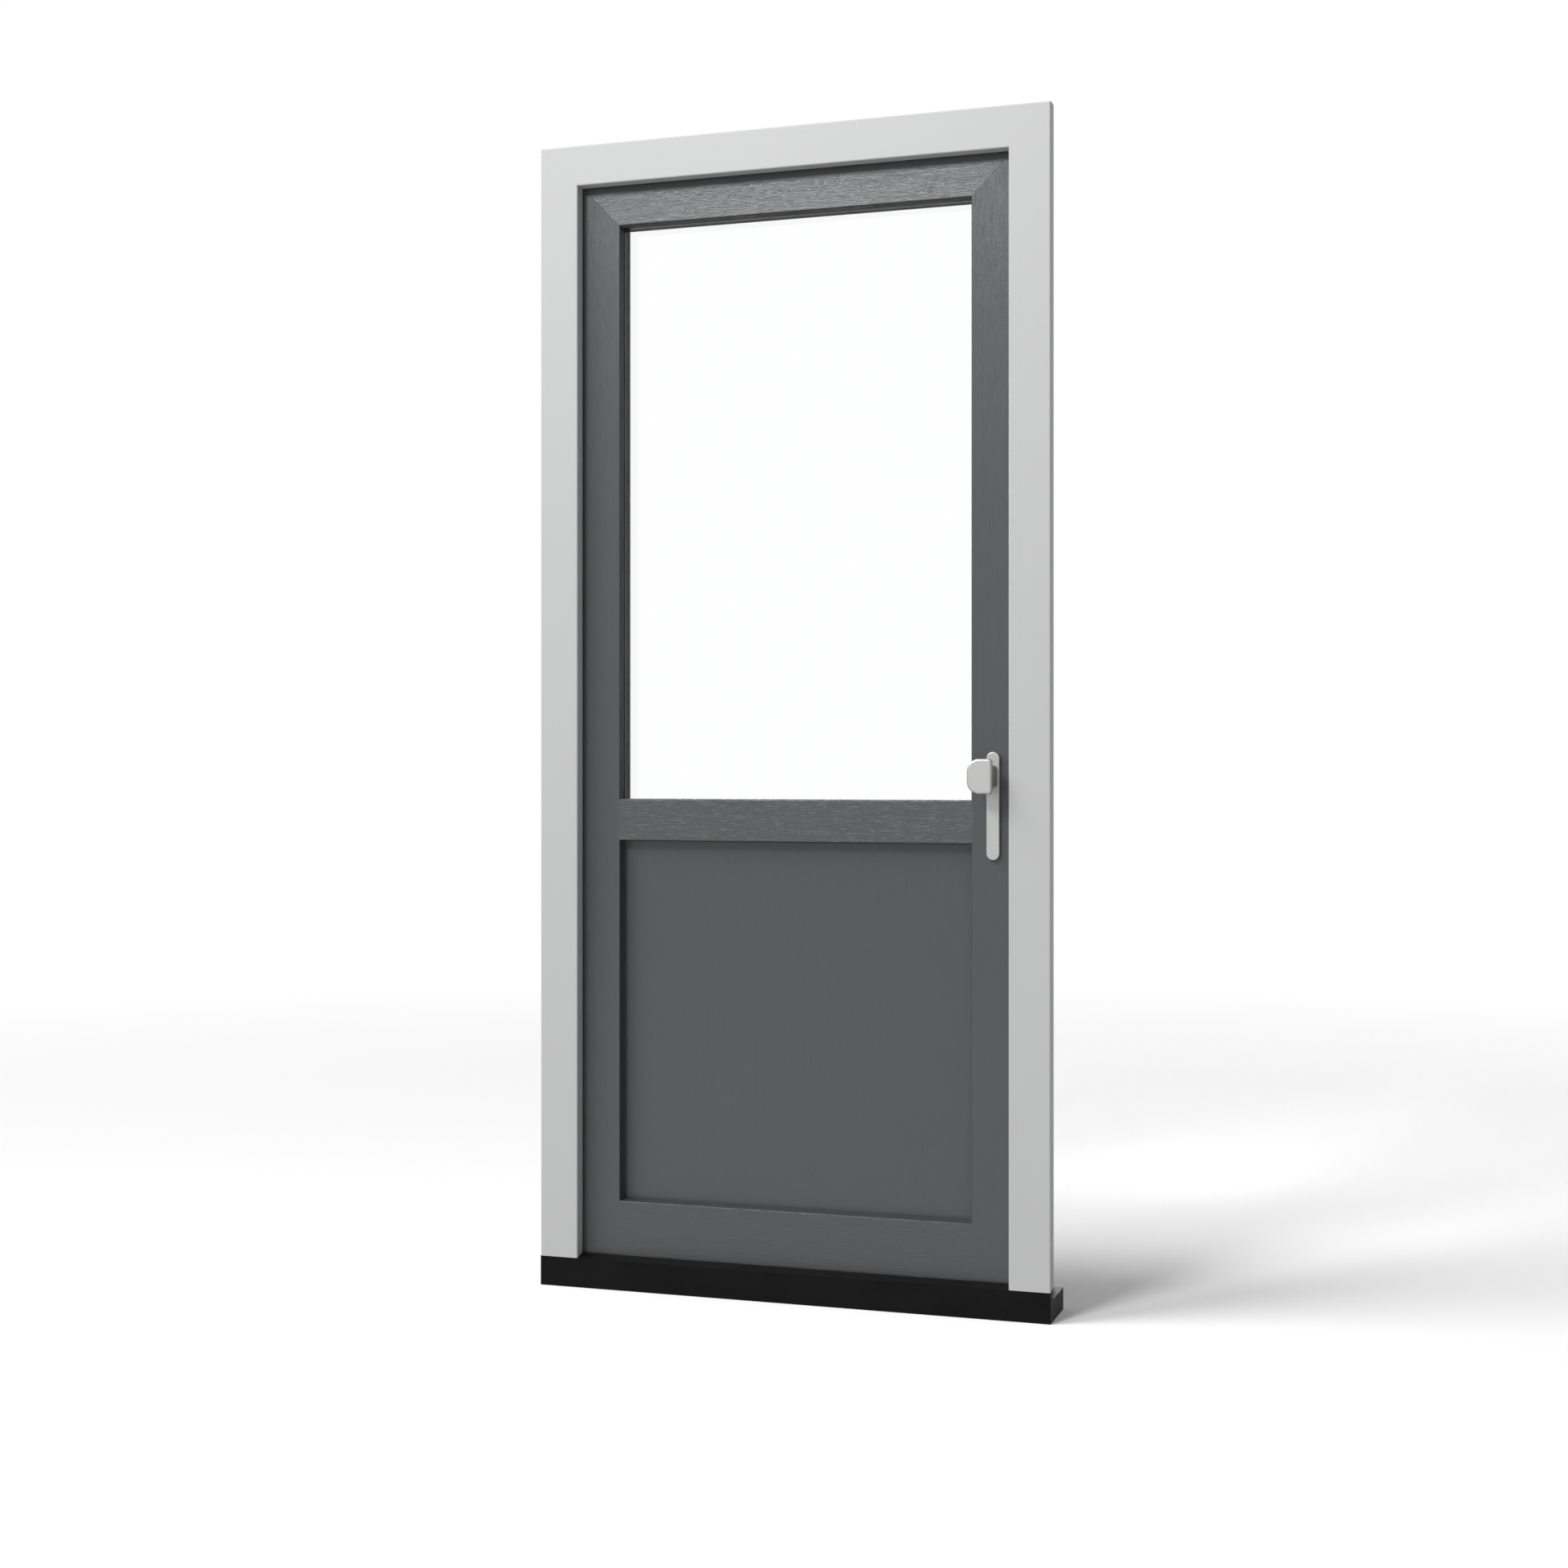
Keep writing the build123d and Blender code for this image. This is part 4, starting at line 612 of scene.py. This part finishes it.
def screw_mesh(head_radius, head_depth, shank_radius, length):
    """Screw with its head at the origin and its shank down Z: vertices and faces."""
    shaped = bmesh.new()

    def loop(radius, z):
        turns = [2 * math.pi * step / SCREW_TURN for step in range(SCREW_TURN)]
        return [shaped.verts.new((radius * math.cos(t), radius * math.sin(t), z)) for t in turns]

    def cross(arm, half, z):
        turned = [(half, half), (half, arm), (-half, arm)]
        points = []
        for _ in range(4):
            points += turned
            turned = [(-y, x) for x, y in turned]
        return [shaped.verts.new((x, y, z)) for x, y in points]

    def edges(points):
        return [shaped.edges.new((p, q)) for p, q in zip(points, points[1:] + points[:1])]

    def band(upper, lower):
        for step in range(len(upper)):
            after = (step + 1) % len(upper)
            shaped.faces.new((upper[step], lower[step], lower[after], upper[after]))

    rim = loop(head_radius - HEAD_EDGE, 0)
    mouth = cross(CROSS_ARM, CROSS_HALF, 0)
    outlines = edges(rim) + edges(mouth)
    bmesh.ops.triangle_fill(shaped, use_beauty=True, use_dissolve=False, edges=outlines)
    pit = cross(CROSS_ARM * CROSS_TAPER, CROSS_HALF * CROSS_TAPER, -CROSS_DEPTH)
    band(mouth, pit)
    shaped.faces.new(pit)
    rings = [
        rim,
        loop(head_radius, -HEAD_EDGE),
        loop(shank_radius, -head_depth),
        loop(shank_radius, -length),
    ]
    for upper, lower in zip(rings, rings[1:]):
        band(upper, lower)
    shaped.faces.new(rings[-1])
    shaped.verts.index_update()
    vertices = [vertex.co.copy() for vertex in shaped.verts]
    faces = [tuple(vertex.index for vertex in face.verts) for face in shaped.faces]
    shaped.free()
    return vertices, faces


def lone_solids(node):
    """Points of each separate solid in a node of the frame model."""
    shaped = bmesh.new()
    shaped.from_mesh(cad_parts[node].data)
    bmesh.ops.remove_doubles(shaped, verts=shaped.verts, dist=SAME_POINT)
    found = set()
    solids = []
    for first in shaped.verts:
        if first in found:
            continue
        found.add(first)
        reached = [first]
        for vertex in reached:
            around = [edge.other_vert(vertex) for edge in vertex.link_edges]
            fresh = [other for other in around if other not in found]
            found.update(fresh)
            reached += fresh
        solids.append([vertex.co.copy() for vertex in reached])
    shaped.free()
    return solids


def screw_at(points):
    """Detailed screw in the place and direction of a plain one: vertices and faces."""
    low = Vector([min(point[axis] for point in points) for axis in range(3)])
    high = Vector([max(point[axis] for point in points) for axis in range(3)])
    size = high - low
    axis = max(range(3), key=lambda number: size[number])
    middle = (low + high) / 2

    def reach(end):
        near = [point for point in points if abs(point[axis] - end) < SAME_END]
        return max((point - middle - (point - middle).dot(aim) * aim).length for point in near)

    aim = Vector([1.0 if number == axis else 0.0 for number in range(3)])
    ends = {1: reach(high[axis]), -1: reach(low[axis])}
    outward = max(ends, key=ends.get)
    head_radius, shank_radius = max(ends.values()), min(ends.values())
    head = middle + aim * outward * size[axis] / 2
    turn = (aim * outward).to_track_quat("Z", "Y").to_matrix().to_4x4()
    vertices, faces = screw_mesh(head_radius, head_radius - shank_radius, shank_radius, size[axis])
    placed = Matrix.Translation(head) @ turn
    return [placed @ vertex for vertex in vertices], faces


screw_steel = brushed_metal("screw_steel", SCREW_STEEL, "X", SCREW_BRUSH, SCREW_ROUGHNESS)
for node, body in SCREW_BODIES.items():
    screws = [screw_at(points) for points in lone_solids(node)]
    crossed = new_piece("crossed_" + node, *joined(*screws), screw_steel, "screw_steel")
    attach(crossed, body)
    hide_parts(node)

# Floor: plain white studio floor, which shows white to the camera and in gloss and glass and keeps the
# door's shadow, but throws only a little light back at the door.
FLOOR_HALF = 60.0
FLOOR_DROP = 0.0005
FLOOR_SEEN = 0.95
FLOOR_THROW = 0.45
FLOOR_GLOW = 0.08
GLOW_START = 1.7
GLOW_FULL = 6.0
floor_corners = [(-1, -1), (1, -1), (1, 1), (-1, 1)]
floor_mesh = bpy.data.meshes.new("floor")
floor_mesh.from_pydata(
    [(x * FLOOR_HALF, y * FLOOR_HALF, -FLOOR_DROP) for x, y in floor_corners], [], [(0, 1, 2, 3)]
)
floor = bpy.data.objects.new("floor", floor_mesh)
bpy.context.scene.collection.objects.link(floor)


def eye_rays(start):
    """1 for rays of the camera, of gloss and of glass, 0 for the light between surfaces."""
    names = ("Is Camera Ray", "Is Glossy Ray", "Is Transmission Ray")
    camera_ray, gloss_ray, glass_ray = [start.node("ShaderNodeLightPath", output=name) for name in names]
    return (camera_ray + gloss_ray + glass_ray).clipped()


def studio_floor():
    """Matt white floor that glows white away from the door, and throws less light back than the eye sees."""
    material, shader, start = new_finish("studio_floor", {})
    material.node_tree.nodes.remove(shader)
    thrown, seen = [
        start.node("ShaderNodeBsdfDiffuse", (), {"Color": (white, white, white, 1)})
        for white in (FLOOR_THROW, FLOOR_SEEN)
    ]
    white = start.node("ShaderNodeEmission")
    distance = start.node("ShaderNodeVectorMath", {"operation": "LENGTH"}, {0: start.place()}, "Value")
    away = ((distance - GLOW_START) / (GLOW_FULL - GLOW_START)).clipped()
    glow = away * (1 - FLOOR_GLOW) + FLOOR_GLOW
    lit = start.node("ShaderNodeMixShader", (), {0: glow, 1: seen, 2: white})
    surface = start.node("ShaderNodeMixShader", (), {0: eye_rays(start), 1: thrown, 2: lit})
    surface.to(material.node_tree.nodes["Material Output"], "Surface")
    return material


floor_mesh.materials.append(studio_floor())

# Studio light: a broad soft light from the left and in front, a softbox above the front, whose gleam
# shows in the grain of the top rail, a weaker one that lights the inside face but not the floor, and an
# even white surrounding.
SKY = 0.28
SUN_STRENGTH = 2.2
SUN_SPREAD = math.radians(27)
SUN_FROM = (-0.61, -0.36, 0.70)
SOFTBOX_PLACE = (-1.64, -5.07, 4.91)
SOFTBOX_AIM = (0, 0, 1.6)
SOFTBOX_SIZE = 1.5
SOFTBOX_POWER = 262
BACK_PLACE = (-1.2, 5.2, 3.0)
BACK_AIM = (0, 0, 1.1)
BACK_SIZE = 1.6
BACK_POWER = 150
scene = bpy.context.scene
scene.view_settings.view_transform = "Standard"
world = bpy.data.worlds.new("studio")
scene.world = world
world.use_nodes = True
backdrop = world.node_tree.nodes["Background"]
backdrop.inputs["Color"].default_value = (1, 1, 1, 1)
(eye_rays(Wire(world.node_tree)) * (1 - SKY) + SKY).to(backdrop, "Strength")


def lamp(name, kind, place, aim):
    """Lamp at a place that looks at a point, and that isn't seen itself, through the glass either."""
    light = bpy.data.lights.new(name, kind)
    holder = bpy.data.objects.new(name, light)
    holder.location = place
    holder.rotation_euler = (Vector(aim) - Vector(place)).to_track_quat("-Z", "Y").to_euler()
    holder.visible_camera = False
    holder.visible_transmission = False
    scene.collection.objects.link(holder)
    return light, holder


sun, _ = lamp("soft_sun", "SUN", SUN_FROM, (0, 0, 0))
sun.energy = SUN_STRENGTH
sun.angle = SUN_SPREAD
softbox, _ = lamp("softbox", "AREA", SOFTBOX_PLACE, SOFTBOX_AIM)
softbox.size = SOFTBOX_SIZE
softbox.energy = SOFTBOX_POWER
back_light, back_holder = lamp("back_light", "AREA", BACK_PLACE, BACK_AIM)
back_light.size = BACK_SIZE
back_light.energy = BACK_POWER
unlit = bpy.data.collections.new("not_lit_from_behind")
unlit.objects.link(floor)
unlit.collection_objects[0].light_linking.link_state = "EXCLUDE"
back_holder.light_linking.receiver_collection = unlit

# Camera: level, at the height of the grip, turned 18 degrees to the door's outside face.
SENSOR_WIDTH = 36.0
LENS = 50.34
PHOTO_WIDTH = 1920
SHIFT_PIXELS = (-2.5, -17)
VIEW_PLACE = (1.2655, -3.955, 0.9966)
VIEW_ANGLE = math.radians(18.0)
lens = bpy.data.cameras.new("camera")
lens.sensor_width = SENSOR_WIDTH
lens.lens = LENS
lens.shift_x, lens.shift_y = [pixels / PHOTO_WIDTH for pixels in SHIFT_PIXELS]
camera = bpy.data.objects.new("camera", lens)
camera.location = VIEW_PLACE
camera.rotation_euler = (math.pi / 2, 0, VIEW_ANGLE)
scene.collection.objects.link(camera)
scene.camera = camera
